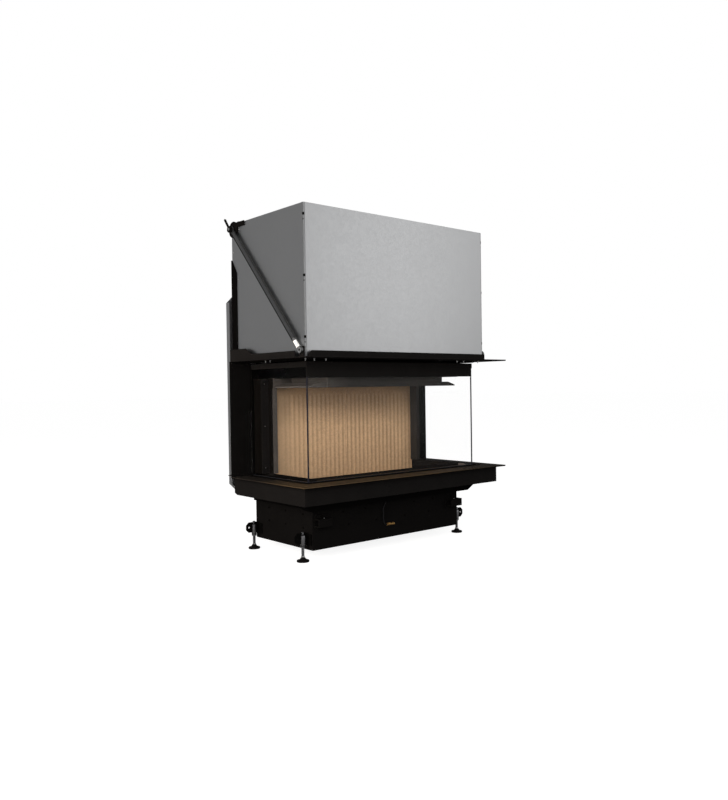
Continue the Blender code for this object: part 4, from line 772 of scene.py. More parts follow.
class FIREPLACE_OT_finishes(FireplaceStep):
    """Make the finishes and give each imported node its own"""

    bl_idname = "fireplace.finishes"
    bl_label = "Finishes"

    def execute(self, context):
        colours = self.colours
        black = colours.black
        grey = colours.grey
        soot = colours.soot
        MATERIALS.update(
            galvanised=galvanised("galvanised_sheet", colours.galvanised),
            # A copy of the galvanised sheet made a tenth lighter for the counterweight ducts: painted light
            duct_sheet=galvanised("duct_sheet", shade(colours.galvanised, 1.1)),
            black_paint=black_paint("black_stove_paint", black),
            # Lighter copies of the black paint for the hearth pan, the apron and the frame: painted light
            inner_black=black_paint("firebox_black", shade(black, 2.2), 0.6),
            apron_black=black_paint("apron_black", shade(black, 1.7)),
            frame_black=black_paint("frame_black", shade(black, 2.1)),
            # A darker copy of the black paint for the stiles, trough, upright, dome, brackets and small black
            # parts: painted shade
            deep_black=black_paint("deep_black", shade(black, 0.5), 0.6),
            # The shelf: a lighter brown copy of the black paint with a warm patch at the front, both painted sheen
            shelf_black=black_paint("shelf_black", (0.020, 0.017, 0.0145), warm=(0.070, 0.047, 0.026)),
            # The throat and rib caps: painted light makes their left end lighter
            heat_grey=heat_grey("heat_greyed_steel", grey, soot, shade(grey, 2.8)),
            # The side strips: painted shade makes the left one black
            strip_grey=heat_grey("strip_grey", (0.11, 0.095, 0.085), soot, black),
            # The cheek: painted shade darkens its left end and, nearly black, its faces that look left
            cheek=heat_grey("cheek_steel", (0.085, 0.073, 0.065), soot, shade(black, 2.4), crease=0.85),
            fireclay=fireclay("fluted_fireclay", colours.clay, soot),
            vermiculite=vermiculite("vermiculite_board", colours.board),
            ceramic_glass=clear_glass("ceramic_glass"),
            zinc_steel=bright_steel("bright_zinc", colours.zinc, 0.22),
            # The feet's spindles and bosses get painted shade towards their outline
            spindle=bright_steel("spindle_zinc", (0.30, 0.30, 0.31), 0.3, rim=0.9),
            wire_rope=bright_steel("rope_wire", (0.35, 0.35, 0.34), 0.4),
            brass=bright_steel("clamp_brass", colours.brass, 0.3),
            raw_steel=raw_steel("rolled_steel", (0.3, 0.29, 0.28)),
            tie_steel=tie_steel("tie_bar_satin", (0.25, 0.25, 0.25)),
            # The tie bars' sleeves: plain white that paints the highlight of bright metal
            white_sleeve=plain_rubber("white_sleeve", (0.85, 0.85, 0.84), 0.4),
            grey_sheath=plain_rubber("cable_sheath", (0.009, 0.009, 0.010), 0.55),
            pad_rubber=plain_rubber("foot_rubber", (0.0035, 0.003, 0.003)),
            glass_joint=plain_rubber("glass_joint", (0.012, 0.012, 0.018), 0.5),
            gasket=plain_rubber("glass_gasket", (0.018, 0.019, 0.022), 0.4),
            dark_mark=plain_rubber("dark_hook", (0.004, 0.004, 0.004)),
        )
        for part in frame["record"]["subparts"]:
            node = part["node"]
            own = [finish for start, finish in NODE_FINISHES.items() if node.startswith(start)]
            slots = frame["nodes"][node].data.materials
            slots.clear()
            slots.append(MATERIALS[own[0] if own else part["material_slot"]])
        return {"FINISHED"}


class FIREPLACE_OT_jacket(FireplaceStep):
    """Add the jacket's rounded front panel, hooks, rivets, screws, pressed ribs and spigot beads"""

    bl_idname = "fireplace.jacket"
    bl_label = "Jacket"

    def execute(self, context):
        self.front_panel()
        self.hooks()
        self.rivets()
        self.cover_screws()
        self.rear_ribs()
        self.rear_screws()
        self.spigots()
        self.air_inlet()
        return {"FINISHED"}

    def front_panel(self):
        """The sheet's section carried across the front and round both corners."""
        sheet = 0.0015
        path = three_sided(HOOD_HIGH[0], HOOD_LOW[1], HOOD_HIGH[1])
        section = oblong(-sheet, HOOD_LOW[2], 0, HOOD_HIGH[2])
        shape = swept(rounded(path, self.sizes.corner_radius, 10), section)
        piece(
            "jacket_front", [shape], "galvanised", smooth=30, bevel=0.0003,
            replaces=["hood_front_panel"],
        )

    def hooks(self):
        """Black hooks through the corner folds, and the end of each slot below."""
        radius = self.sizes.corner_radius
        sunk = 0.0012
        marks = ((0.0, 0.0046, 0.0052, 0.0012), (0.021, 0.0028, 0.0030, 0.0004))
        shapes = []
        for sign in SIDES.values():
            centre = np.array((sign * (HOOD_HIGH[0] - radius), depth(radius), 0.0))
            out = np.array((sign, -0.8, 0.0)) / math.hypot(1, 0.8)
            across = np.array((-out[1], out[0], 0.0))
            for height in (1.413, 1.170, 0.926):
                for drop, wide, tall, proud in marks:
                    side, rise = np.array(oblong(-wide, -tall, wide, tall)).T[..., None]
                    reach = radius + np.array((-sunk, proud))[:, None, None]
                    grid = centre + out * reach + across * side + UP * (height - drop + rise)
                    shapes.append(solid_of(grid))
        piece("jacket_hooks", shapes, "dark_mark", bevel=0.0003)

    def rivets(self):
        """Four rivets toward the rear of each side panel."""
        spots = ((0.487, 1.429), (0.538, 1.334), (0.497, 1.209), (0.504, 0.907))
        groups = []
        for name, sign in SIDES.items():
            wall = corner(f"hood_{name}_panel", (1 + sign) // 2)[0]
            groups.append(([(wall, depth(behind), height) for behind, height in spots], (sign, 0, 0)))
        heads("jacket_rivets", DOME, self.sizes.rivet_radius, groups, "zinc_steel")

    def cover_screws(self):
        """Screws round the top cover. Its rear row leaves out the ends, where the pulleys are."""
        top = corner("hood_top_cover", 1)[2]
        front_row = 0.02
        rear_row = 0.530
        side_row = 0.515
        across = np.linspace(-0.48, 0.48, 9)
        inner = across[1:-1]
        places = [
            (x, depth(row), top)
            for x in across for row in (front_row, rear_row) if row == front_row or x in inner
        ]
        places += [(sign * side_row, depth(behind), top) for sign in (-1, 1) for behind in (0.15, 0.28, 0.40)]
        heads("cover_screws", SCREW, SHEET_SCREW, [(places, UP)], "zinc_steel", 18, 40)

    def rear_ribs(self):
        """Pressed ribs across the rear panel.

        Each rib is a sheet whose height is 3 mm * the square of the cosine of the share of its half
        width, and fades in the same way over its last stretch at both ends.
        """
        low, high = ends("hood_rear_panel")
        reach = 0.40
        half = 0.014
        tall = 0.003
        fading = 0.025
        x = np.linspace(-reach, reach, 81)[None]
        share = np.linspace(-1, 1, 13)[:, None]
        end = np.clip((reach - np.abs(x)) / fading, 0, 1)
        rise = tall * np.cos(share * math.pi / 2) ** 2 * np.sin(end * math.pi / 2) ** 2
        shapes = []
        for height in np.linspace(low[2] + 0.16, high[2] - 0.14, 4):
            front = np.stack(np.broadcast_arrays(x, high[1] + rise, height + half * share), -1)
            rear = front.copy()
            rear[..., 1] = high[1] - 0.0005
            shapes.append(layered(front, rear))
        piece("rear_ribs", shapes, "galvanised", smooth=60)

    def rear_screws(self):
        """Screws down both sides of the rear panel and along its top and foot."""
        low, high = ends("hood_rear_panel")
        side = 0.472
        levels = np.linspace(low[2] + 0.06, high[2] - 0.05, 9)
        places = [(x, high[1], z) for x in (-side, side) for z in levels]
        rows = (low[2] + 0.02, high[2] - 0.02)
        places += [(x, high[1], z) for x in np.linspace(-0.36, 0.36, 5) for z in rows]
        heads("rear_screws", SCREW, SHEET_SCREW, [(places, BACK)], "zinc_steel", 18, 40)

    def spigots(self):
        """A rolled bead near each spigot's rim, and a flange at its foot with eight rivets."""
        groups = []
        flat = 0.0011
        foot = corner("hood_top_cover", 1)[2]
        for name in ("warm_air_spigot_left", "warm_air_spigot_right", "flue_collar"):
            centre = middle(name)
            radius = half_width(name)
            below_rim, finish = (0.004, "black_paint") if name == "flue_collar" else (0.010, "galvanised")
            flange = np.array((
                (0.0002, 0.0001), (0.016, 0.0001), (0.016, flat), (0.0028, 0.0013), (0.0012, 0.0035),
                (0.0002, 0.0035),
            )) + (radius, 0)
            rings = [
                turned(BEAD + (radius, 0), (*centre[:2], corner(name, 1)[2] - below_rim), UP, 48),
                turned(flange, (*centre[:2], foot), UP, 48),
            ]
            piece(name + "_bead", rings, finish, smooth=50)
            spots = circle(radius + 0.010, 8, 0.3) + centre[:2]
            groups.append(([(*spot, foot + flat) for spot in spots], UP))
        heads("spigot_rivets", DOME, 0.0026, groups, "zinc_steel")

    def air_inlet(self):
        """A rolled bead near the inlet's rim, and a flange on the base."""
        centre = middle("air_inlet_spigot")
        radius = half_width("air_inlet_spigot")
        rim = corner("air_inlet_spigot", 1)[1]
        flange = np.array((
            (0.0002, 0), (0.014, 0), (0.014, 0.001), (0.002, 0.0012), (0.0002, 0.003),
        )) + (radius, 0)
        rings = [
            turned(BEAD + (radius - 0.0003, 0), (centre[0], rim - 0.012, centre[2]), BACK, 48),
            turned(flange, (centre[0], BASE_HIGH[1] + 0.0001, centre[2]), BACK, 48),
        ]
        piece("air_inlet_bead", rings, "galvanised", smooth=50)


class FIREPLACE_OT_hearth(FireplaceStep):
    """Add the firebox's fluted fireclay, caps, rivets and strips, and the shelf's hems, rails and screws"""

    bl_idname = "fireplace.hearth"
    bl_label = "Hearth"

    def execute(self, context):
        for name in SIDES:
            self.back_half(name)
        self.rib_caps()
        self.firebox_rivets()
        self.side_strips()
        self.hems()
        self.shelf_rails()
        self.screws()
        return {"FINISHED"}

    def back_half(self, name):
        """Half of the back wall.

        Its face is sunk by depth * the square of the sine of pi * (across / pitch), raised to a
        power below one so that the grooves are wide and the lands narrow, times a fade that goes
        from 0 to 1 just under the plain margin. Its edges fall back by the square of the share of
        their own width.
        """
        sizes = self.sizes
        node = "fireclay_back_" + name
        low, high = ends(node)
        wide = high[0] - low[0]
        pitch = wide / sizes.flute_count
        margin = high[2] - sizes.flute_margin
        fading = 0.020
        x = np.linspace(0, 1, sizes.flute_count * 12 + 1)[None, :] * wide
        z = np.concatenate((
            np.linspace(low[2], margin - 0.022, 12),
            margin - fading * (1 - np.linspace(0, 1, 9)),
            (high[2] - 0.002, high[2] - 0.0006, high[2]),
        ))[:, None]
        groove = (np.sin(math.pi * x / pitch) ** 2) ** 0.75
        fade = np.clip((margin - z) / fading, 0, 1)
        fade = fade * fade * (3 - 2 * fade)
        edge = np.clip(np.minimum(x, wide - x) / 0.0015, 0, 1)
        brow = np.clip((high[2] - z) / 0.002, 0, 1)
        softened = 0.0012 * ((1 - edge) ** 2 + (1 - brow) ** 2)
        y = low[1] + sizes.flute_depth * groove * fade + softened
        front = np.stack(np.broadcast_arrays(low[0] + x, y, z), -1)
        rear = front.copy()
        rear[..., 1] = high[1]
        piece("fireclay_half_" + name, [layered(front, rear)], "fireclay", smooth=50, replaces=[node])

    def rib_caps(self):
        """A greyed angle down the front of each rib, with its inner leg back to the fireclay."""
        sheet = 0.002
        clay = corner("fireclay_back_left", 0)[1] - 0.0006
        edge = corner("fireclay_back_right", 1)[0]
        near = corner("firebox_back", 0)[1] - sheet - 0.0004
        foot = corner("hearth_pan", 1)[2] + 0.001
        head = corner("throat_frame", 0)[2] - 0.0003
        shapes = []
        for sign in SIDES.values():
            inner = sign * (edge - 0.0105)
            outer = sign * (edge + 0.0125)
            leg = inner + sign * sheet
            far = near + sheet
            outline = [(inner, near), (outer, near), (outer, far), (leg, far), (leg, clay), (inner, clay)]
            shapes.append(upright(outline, foot, head))
        piece("rib_caps", shapes, "heat_grey", bevel=0.0006)

    def firebox_rivets(self):
        """Three rivets down the face of each flank."""
        across = 0.4655
        rear = 0.401
        sheet = 0.0012
        face = depth(rear - sheet)
        places = [(sign * across, face, z) for sign in (-1, 1) for z in (0.742, 0.556, 0.372)]
        heads("firebox_rivets", DOME, 0.0024, [(places, FORWARD)], "raw_steel")

    def side_strips(self):
        """A grey angle on the shelf beside the hearth, under each side pane."""
        sheet = 0.0012
        wall = 0.0015
        top = corner("shelf_plate", 1)[2] + 0.0001
        inner = corner("hearth_pan", 1)[0] + 0.0008
        outer = corner("door_glass_right", 0)[0] - 0.0025
        front = corner("door_glass_front", 1)[1] + 0.004
        rear = corner("firebox_back", 0)[1] - 0.001
        outline = [
            (inner, top), (outer, top), (outer, top + sheet), (inner + wall, top + sheet),
            (inner + wall, top + 0.0095), (inner, top + 0.0095),
        ]
        shapes = [lengthwise(outline, sign, front, rear) for sign in SIDES.values()]
        piece("side_strips", shapes, "strip_grey", bevel=0.0003)

    def hems(self):
        """Folded hems under the rims of the shelf and of the upper frame."""
        rear = 0.2014
        shapes = []
        for node in ("shelf_plate", "upper_frame"):
            low, high = ends(node)
            section = oblong(-0.0045, low[2] - 0.0030, -0.0001, low[2] + 0.0006)
            shapes.append(swept(three_sided(high[0], low[1], rear), section))
        piece("plate_hems", shapes, "deep_black", bevel=0.0006)

    def shelf_rails(self):
        """Low rails round the glass's foot: a rounded section along three sides."""
        top = corner("shelf_plate", 1)[2]
        side = -corner("door_glass_left", 0)[0]
        rear = corner("door_glass_left", 1)[1]
        front = corner("door_glass_front", 0)[1]
        shapes = []
        for gap, wide, tall in ((0.0045, 0.0035, 0.0022), (0.016, 0.0025, 0.0016), (0.030, 0.0025, 0.0016)):
            path = rounded(three_sided(side + gap, front - gap, rear, top), 0.004 + gap / 2)
            half = wide / 2
            section = [
                (-half, -SUNK), (half, -SUNK), (half, tall * 0.6), (half / 2, tall), (-half / 2, tall),
                (-half, tall * 0.6),
            ]
            shapes.append(swept(path, section))
        piece("shelf_rails", shapes, "deep_black", smooth=50)

    def screws(self):
        """Domed screws along the trough's front, and two small ones in the apron."""
        height = 0.2365
        reach = 0.408
        front = corner("trough", 0)[1]
        places = [(x, front, height) for x in np.linspace(-reach, reach, 7)]
        heads("trough_screws", DOME, 0.0052, [(places, FORWARD)], "deep_black")
        apron = corner("shelf_apron", 0)[1]
        places = [(-0.131, apron, z) for z in (0.297, 0.275)]
        heads("apron_screws", DOME, 0.0022, [(places, FORWARD)], "black_paint")


class FIREPLACE_OT_door(FireplaceStep):
    """Add the joints and the seal of the door's glass, and the bolts, lips and rivets of its slot"""

    bl_idname = "fireplace.door"
    bl_label = "Door"

    def execute(self, context):
        plate = corner("upper_frame", 0)[2]
        self.glass_edges()
        self.bolts(plate)
        self.slot_lips(plate)
        return {"FINISHED"}

    def glass_edges(self):
        """A dark joint down each front corner, and a seal under the panes."""
        low, high = ends("door_glass_front")
        rear = corner("door_glass_left", 1)[1] - 0.001
        inset = 0.0024
        trim = 0.0002
        joints = []
        for sign in SIDES.values():
            ring = circle(0.0032, 12) + (sign * (high[0] - inset), low[1] + inset)
            joints.append(upright(ring, low[2] + trim, high[2] - trim))
        piece("glass_corner_joints", joints, "glass_joint", "door", smooth=60)
        line = 0.002
        path = rounded(three_sided(high[0] - line, low[1] + line, rear), 0.003, 4)
        section = oblong(-0.0026, low[2] - 0.0012, 0.0026, low[2] + 0.0016)
        piece("glass_foot_seal", [swept(path, section)], "gasket", "door", smooth=40, bevel=0.0004)

    def bolts(self, plate):
        """Bright guide bolts between the upper frame and the door's bar."""
        near = 0.02
        spots = [
            (-0.519, 0.304), (-0.519, 0.269), (-0.516, near), (-0.472, near), (-0.414, near),
            (0.369, near), (0.414, near), (0.519, 0.304), (0.519, 0.269), (0.516, near),
        ]
        bolt = [
            (0, 0.0105), (0.0012, 0.0105), (0.0022, 0.0095), (0.0022, 0.006), (0.0034, 0.0058),
            (0.0034, 0.0022), (0.0044, 0.002), (0.0044, -0.0002), (0, -0.0002),
        ]
        shapes = [turned(bolt, (x, depth(behind), plate), -UP, 18) for x, behind in spots]
        piece("guide_bolts", shapes, "zinc_steel", smooth=40)

    def slot_lips(self, plate):
        """A lip under each side of the door's slot, with four rivets near the front."""
        inner = 0.5126
        outer = 0.5144
        outline = oblong(inner, plate - 0.0080, outer, plate + 0.0005)
        rows = (0.091, 0.112, 0.133, 0.154)
        lips = [lengthwise(outline, sign, depth(0.045), depth(0.464)) for sign in SIDES.values()]
        piece("slot_lips", lips, "deep_black", bevel=0.0005)
        groups = [
            ([(sign * inner, depth(behind), plate - 0.0042) for behind in rows], (-sign, 0, 0))
            for sign in SIDES.values()
        ]
        heads("slot_rivets", DOME, 0.0022, groups, "zinc_steel")


class FIREPLACE_OT_lifting(FireplaceStep):
    """Add the laid ropes, the tie rods, the shaft's nuts, the pulleys' hubs and the lever's grip"""

    bl_idname = "fireplace.lifting"
    bl_label = "Lifting gear"

    def execute(self, context):
        for name, sign in SIDES.items():
            self.ropes(name)
            self.tie_rod(name, sign)
            self.shaft_end(name, sign)
        self.grip()
        return {"FINISHED"}

    def ropes(self, name):
        """The rope's front run, its arc over the pulley and its rear run."""
        node = "lift_cable_" + name
        low, high = ends(node)
        across = middle(node)[0]
        radius = half_width(node)
        axle, top = SHAFT_LINE
        line = (high[1] - low[1]) / 2 - radius
        weight = corner("counterweight_" + name, 1)[2]

        def laid(run, y, z):
            y, z = np.broadcast_arrays(y, z)
            path = np.stack((np.full_like(z, across), y, z), -1)
            shape = rope(path, radius, self.sizes.rope_lay)
            return piece(f"lift_rope_{run}_{name}", [shape], "wire_rope", smooth=60, replaces=[node])

        front = laid("front", axle - line, np.linspace(low[2], top, 330))
        travel = next(joint for joint in frame["joints"] if joint["name"] == "door_lift")["range_m"][1]
        keep = (top - low[2] - travel) / (top - low[2])
        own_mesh(front)
        turn = np.linspace(math.pi, 0, 60)
        laid("over", axle + line * np.cos(turn), top + line * np.sin(turn))
        rear = laid("rear", axle + line, np.linspace(top, weight, 190))
        rear.parent = None
        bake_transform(rear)

    def tie_rod(self, name, sign):
        """The bar's threaded foot with its nut and its washer, and the sleeve round it, white with painted
        highlight.
        """
        across = middle("tie_bar_" + name)[0]
        foot = np.array((across, *TIE_FOOT))
        run = unit(np.array((across, *SHAFT_LINE)) - foot)
        bore = 0.0061
        nut = [(bore, 0.052, 1), (0.0078, 0.052, 1), (0.0078, 0.058, 1), (bore, 0.058, 1)]
        sleeve = [
            (bore, 0.0145), (0.0080, 0.0150), (0.0085, 0.0165), (0.0085, 0.0480), (0.0080, 0.0495),
            (bore, 0.0500),
        ]
        washer = [(0.0056, 0), (0.0125, 0), (0.0125, 0.0006), (0.0056, 0.0006)]
        shapes = [
            threaded(foot, run, 0.0063, 0.0135, 0.064, self.sizes.thread_pitch),
            turned(nut, foot, run, 36),
            turned(washer, (sign * (abs(across) + 0.004), *TIE_FOOT), (sign, 0, 0)),
        ]
        piece("tie_rod_" + name, shapes, "zinc_steel", smooth=40)
        # The sleeve's white is painted highlight
        piece("tie_sleeve_" + name, [turned(sleeve, foot, run)], "white_sleeve", smooth=40)

    def shaft_end(self, name, sign):
        """A domed nut on the shaft's end, and both hubs of the pulley with a ring of five bosses."""
        end = corner("pulley_shaft", (1 + sign) // 2)[0]
        nut = [
            (0, 0.0004), (0.0045, 0.0004), (0.0056, -0.0008), (0.0056, -0.003), (0.0062, -0.003),
            (0.0062, -0.0036), (0, -0.0036),
        ]
        hub = [(0.0061, 0.0071), (0.014, 0.0071), (0.015, 0.0078), (0.015, 0.0088), (0.0061, 0.0095)]
        boss = [
            (0, -0.0002), (0.0052, -0.0002), (0.0052, 0.0006), (0.0035, 0.0009), (0.0035, 0.0003),
            (0, 0.0003),
        ]
        shapes = [turned(nut, (end - sign * 0.0005, *SHAFT_LINE), (sign, 0, 0), 28)]
        pulley = sign * 0.5
        for way in (-1, 1):
            shapes.append(turned(hub, (pulley, *SHAFT_LINE), (way, 0, 0)))
            spots = circle(0.0265, 5) + SHAFT_LINE
            shapes += [turned(boss, (pulley + way * 0.0070, *spot), (way, 0, 0), 20) for spot in spots]
        piece("shaft_ends_" + name, shapes, "zinc_steel", "pulleys", smooth=40)

    def grip(self):
        """A rubber grip on the lock lever's end."""
        tilt = math.radians(52)
        run = np.array((0.0, math.cos(tilt), math.sin(tilt)))
        reach = 0.062
        tip = np.array((middle("shaft_lock_lever")[0], *SHAFT_LINE)) + run * reach
        grip = [
            (0, -0.024), (0.0042, -0.024), (0.0048, -0.022), (0.0048, -0.002), (0.0040, 0.0002),
            (0, 0.0006),
        ]
        piece("lever_grip", [turned(grip, tip, run, 20)], "pad_rubber", "lock_lever", smooth=50)


class FIREPLACE_OT_feet(FireplaceStep):
    """Replace the levelling feet by threaded spindles with nuts on swivel pads"""

    bl_idname = "fireplace.feet"
    bl_label = "Levelling feet"

    def execute(self, context):
        for end in ("front", "rear"):
            for name, sign in SIDES.items():
                self.foot(f"{end}_{name}", sign)
        return {"FINISHED"}

    def foot(self, name, sign):
        """A pad, a ball and a spindle with its nut, and the bracket's own boss and bolts over them."""
        node = "levelling_foot_" + name
        body = "foot_" + name
        centre = np.array((*middle(node)[:2], 0.0))
        bracket = corner("leg_bracket_" + name, 0)[2]
        nut_top = bracket - 0.0003
        nut = [
            (0.0055, nut_top - 0.008, 0), (0.0080, nut_top - 0.008, 0), (0.0094, nut_top - 0.0072, 1),
            (0.0094, nut_top - 0.0008, 1), (0.0080, nut_top, 0), (0.0055, nut_top, 0),
        ]
        ball = [(0.0066, 0.0182), (0.0078, 0.0200), (0.0078, 0.0225), (0.0066, 0.0245)]
        pad = [
            (0, 0.0), (0.0250, 0.0), (0.0262, 0.0012), (0.0262, 0.0062), (0.0248, 0.0078), (0.0165, 0.0100),
            (0.0118, 0.0135), (0.0098, 0.0175), (0.0080, 0.0185), (0, 0.0185),
        ]
        boss = [
            (0.0105, 0.001), (0.0112, 0.0025), (0.0112, 0.0430), (0.0105, 0.0450), (0.0100, 0.0450),
            (0.0100, 0.001),
        ]
        spindle = threaded(centre, UP, 0.0064, 0.018, corner(node, 1)[2], self.sizes.thread_pitch)
        for part, shapes, finish, smooth in (
            ("ball", [turned(ball, centre, UP, 28)], "zinc_steel", 60),
            ("spindle", [spindle, turned(nut, centre, UP, 36)], "spindle", 40),
            ("pad", [turned(pad, centre, UP, 40)], "pad_rubber", 40),
        ):
            piece(f"foot_{part}_{name}", shapes, finish, body, smooth=smooth, replaces=[node])
        sleeve = turned(boss, centre + UP * bracket, UP, 28)
        wall = sign * (BASE_HIGH[0] + 0.0043)
        places = [(wall, centre[1] + step, bracket + 0.036) for step in (-0.018, 0.018)]
        piece("foot_boss_" + name, [sleeve], "spindle", smooth=40)
        heads("foot_bolts_" + name, HEX, 0.005, [(places, (sign, 0, 0))], "deep_black", 36, 40)


class FIREPLACE_OT_base(FireplaceStep):
    """Add the bolt heads of the base and of the carrier sockets, and the rivets of the ducts"""

    bl_idname = "fireplace.base"
    bl_label = "Base"

    def execute(self, context):
        self.bolts()
        self.sockets()
        self.ducts()
        return {"FINISHED"}

    def bolts(self):
        """Domed heads on both sides, the front and the rear of the base."""
        front = [(x, BASE_LOW[1], 0.190) for x in (-0.272, -0.148, 0.148, 0.272)]
        front += [(x, BASE_LOW[1], 0.133) for x in (-0.243, -0.086, 0.086, 0.243)]
        rear = [(x, BASE_HIGH[1], z) for x in (-0.36, -0.18, 0.18, 0.36) for z in (0.190, 0.070)]
        spots = [(behind, z) for behind in (0.164, 0.293, 0.422) for z in (0.191, 0.134)]
        groups = [
            ([(sign * BASE_HIGH[0], depth(behind), z) for behind, z in spots], (sign, 0, 0))
            for sign in SIDES.values()
        ]
        groups += [(front, FORWARD), (rear, BACK)]
        heads("base_bolts", DOME, self.sizes.bolt_radius, groups, "deep_black")

    def sockets(self):
        """Two hexagon heads on each socket's face, and a screw on its ledge."""
        bolts = []
        screws = []
        for name in SIDES:
            low, high = ends("carrier_socket_" + name)
            across = (low[0] + high[0]) / 2
            places = [(across, high[1] - 0.004, z) for z in (low[2] + 0.0065, high[2] - 0.0065)]
            bolts.append((places, FORWARD))
            screws.append(([(across, high[1] - 0.022, low[2] + 0.048)], UP))
        heads("socket_bolts", HEX, 0.0045, bolts, "deep_black", 36, 40)
        heads("socket_screws", DOME, 0.0026, screws, "zinc_steel", smooth=40)

    def ducts(self):
        """Two columns of rivets up the rear of each counterweight duct."""
        groups = []
        for name in SIDES:
            low, high = ends("counterweight_duct_" + name)
            across = (low[0] + high[0]) / 2
            levels = np.linspace(low[2] + 0.06, high[2] - 0.06, 6)
            groups.append(([(across + step, high[1], z) for z in levels for step in (-0.030, 0.030)], BACK))
        heads("duct_rivets", DOME, 0.003, groups, "zinc_steel")


class FIREPLACE_OT_control(FireplaceStep):
    """Add the control cable and its brass gland"""

    bl_idname = "fireplace.control"
    bl_label = "Air control"

    def execute(self, context):
        self.cable()
        self.gland()
        return {"FINISHED"}

    def cable(self):
        """A round section along a Catmull-Rom curve through the route's knots."""
        low, high = ends("control_cable")
        radius = (high[1] - low[1]) / 2
        line = (high[1] + low[1]) / 2
        top = high[2]
        height = middle("cable_clamp")[2]
        gland = corner("cable_clamp", 0)[0] - 0.0003
        way_out = -0.035
        bulge = -0.048
        knots = np.array([
            (way_out, top), (way_out, top - 0.012), (bulge, top - 0.036), (bulge, (top + height) / 2),
            (bulge, height + 0.024), (-0.0415, height + 0.006), (way_out, height), (gland, height),
        ])
        padded = np.concatenate((knots[:1], knots, knots[-1:]))
        share = np.linspace(0, 1, 13)[None, :-1, None]
        a, b, c, d = (padded[start:start + len(knots) - 1][:, None] for start in range(4))
        squared = a - 2.5 * b + 2 * c - d / 2
        cubed = 3 * b - a - 3 * c + d
        run = b + share * (c - a) / 2 + share**2 * squared + share**3 * cubed / 2
        flat = np.concatenate((run.reshape(-1, 2), knots[-1:]))
        route = np.stack((flat[:, 0], np.full(len(flat), line), flat[:, 1]), -1)
        made = piece(
            "control_cable_sheath", [swept(route, circle(radius, 14), BACK)], "grey_sheath",
            smooth=60, replaces=["control_cable"],
        )

    def gland(self):
        """A brass gland with a hexagon and a round collar, on a small saddle."""
        low, high = ends("cable_clamp")
        centre = (low + high) / 2
        length = high[0] - low[0]
        size = (high[1] - low[1]) / 2
        shares = [
            (0, 0.0, 0), (0.50, 0.0, 0), (0.62, 0.02, 0), (0.62, 0.16, 0), (0.80, 0.18, 1), (0.80, 0.40, 1),
            (0.66, 0.42, 0), (0.66, 0.52, 0), (0.94, 0.55, 0), (0.98, 0.60, 0), (0.98, 0.86, 0),
            (0.90, 0.95, 0), (0.55, 1.0, 0), (0, 1.0, 0),
        ]
        profile = [(radius * size, along * length, hexagon) for radius, along, hexagon in shares]
        gland = turned(profile, (low[0], *centre[1:]), (1, 0, 0), 36)
        reach = 0.46 * length
        foot = low[2] + 0.001
        path = [(centre[0] - reach, 0, foot), (centre[0] + reach, 0, foot)]
        saddle = swept(path, oblong(-high[1], 0, 0.003 - high[1], 0.012))
        piece("cable_gland", [gland, saddle], "brass", smooth=35, replaces=["cable_clamp"])


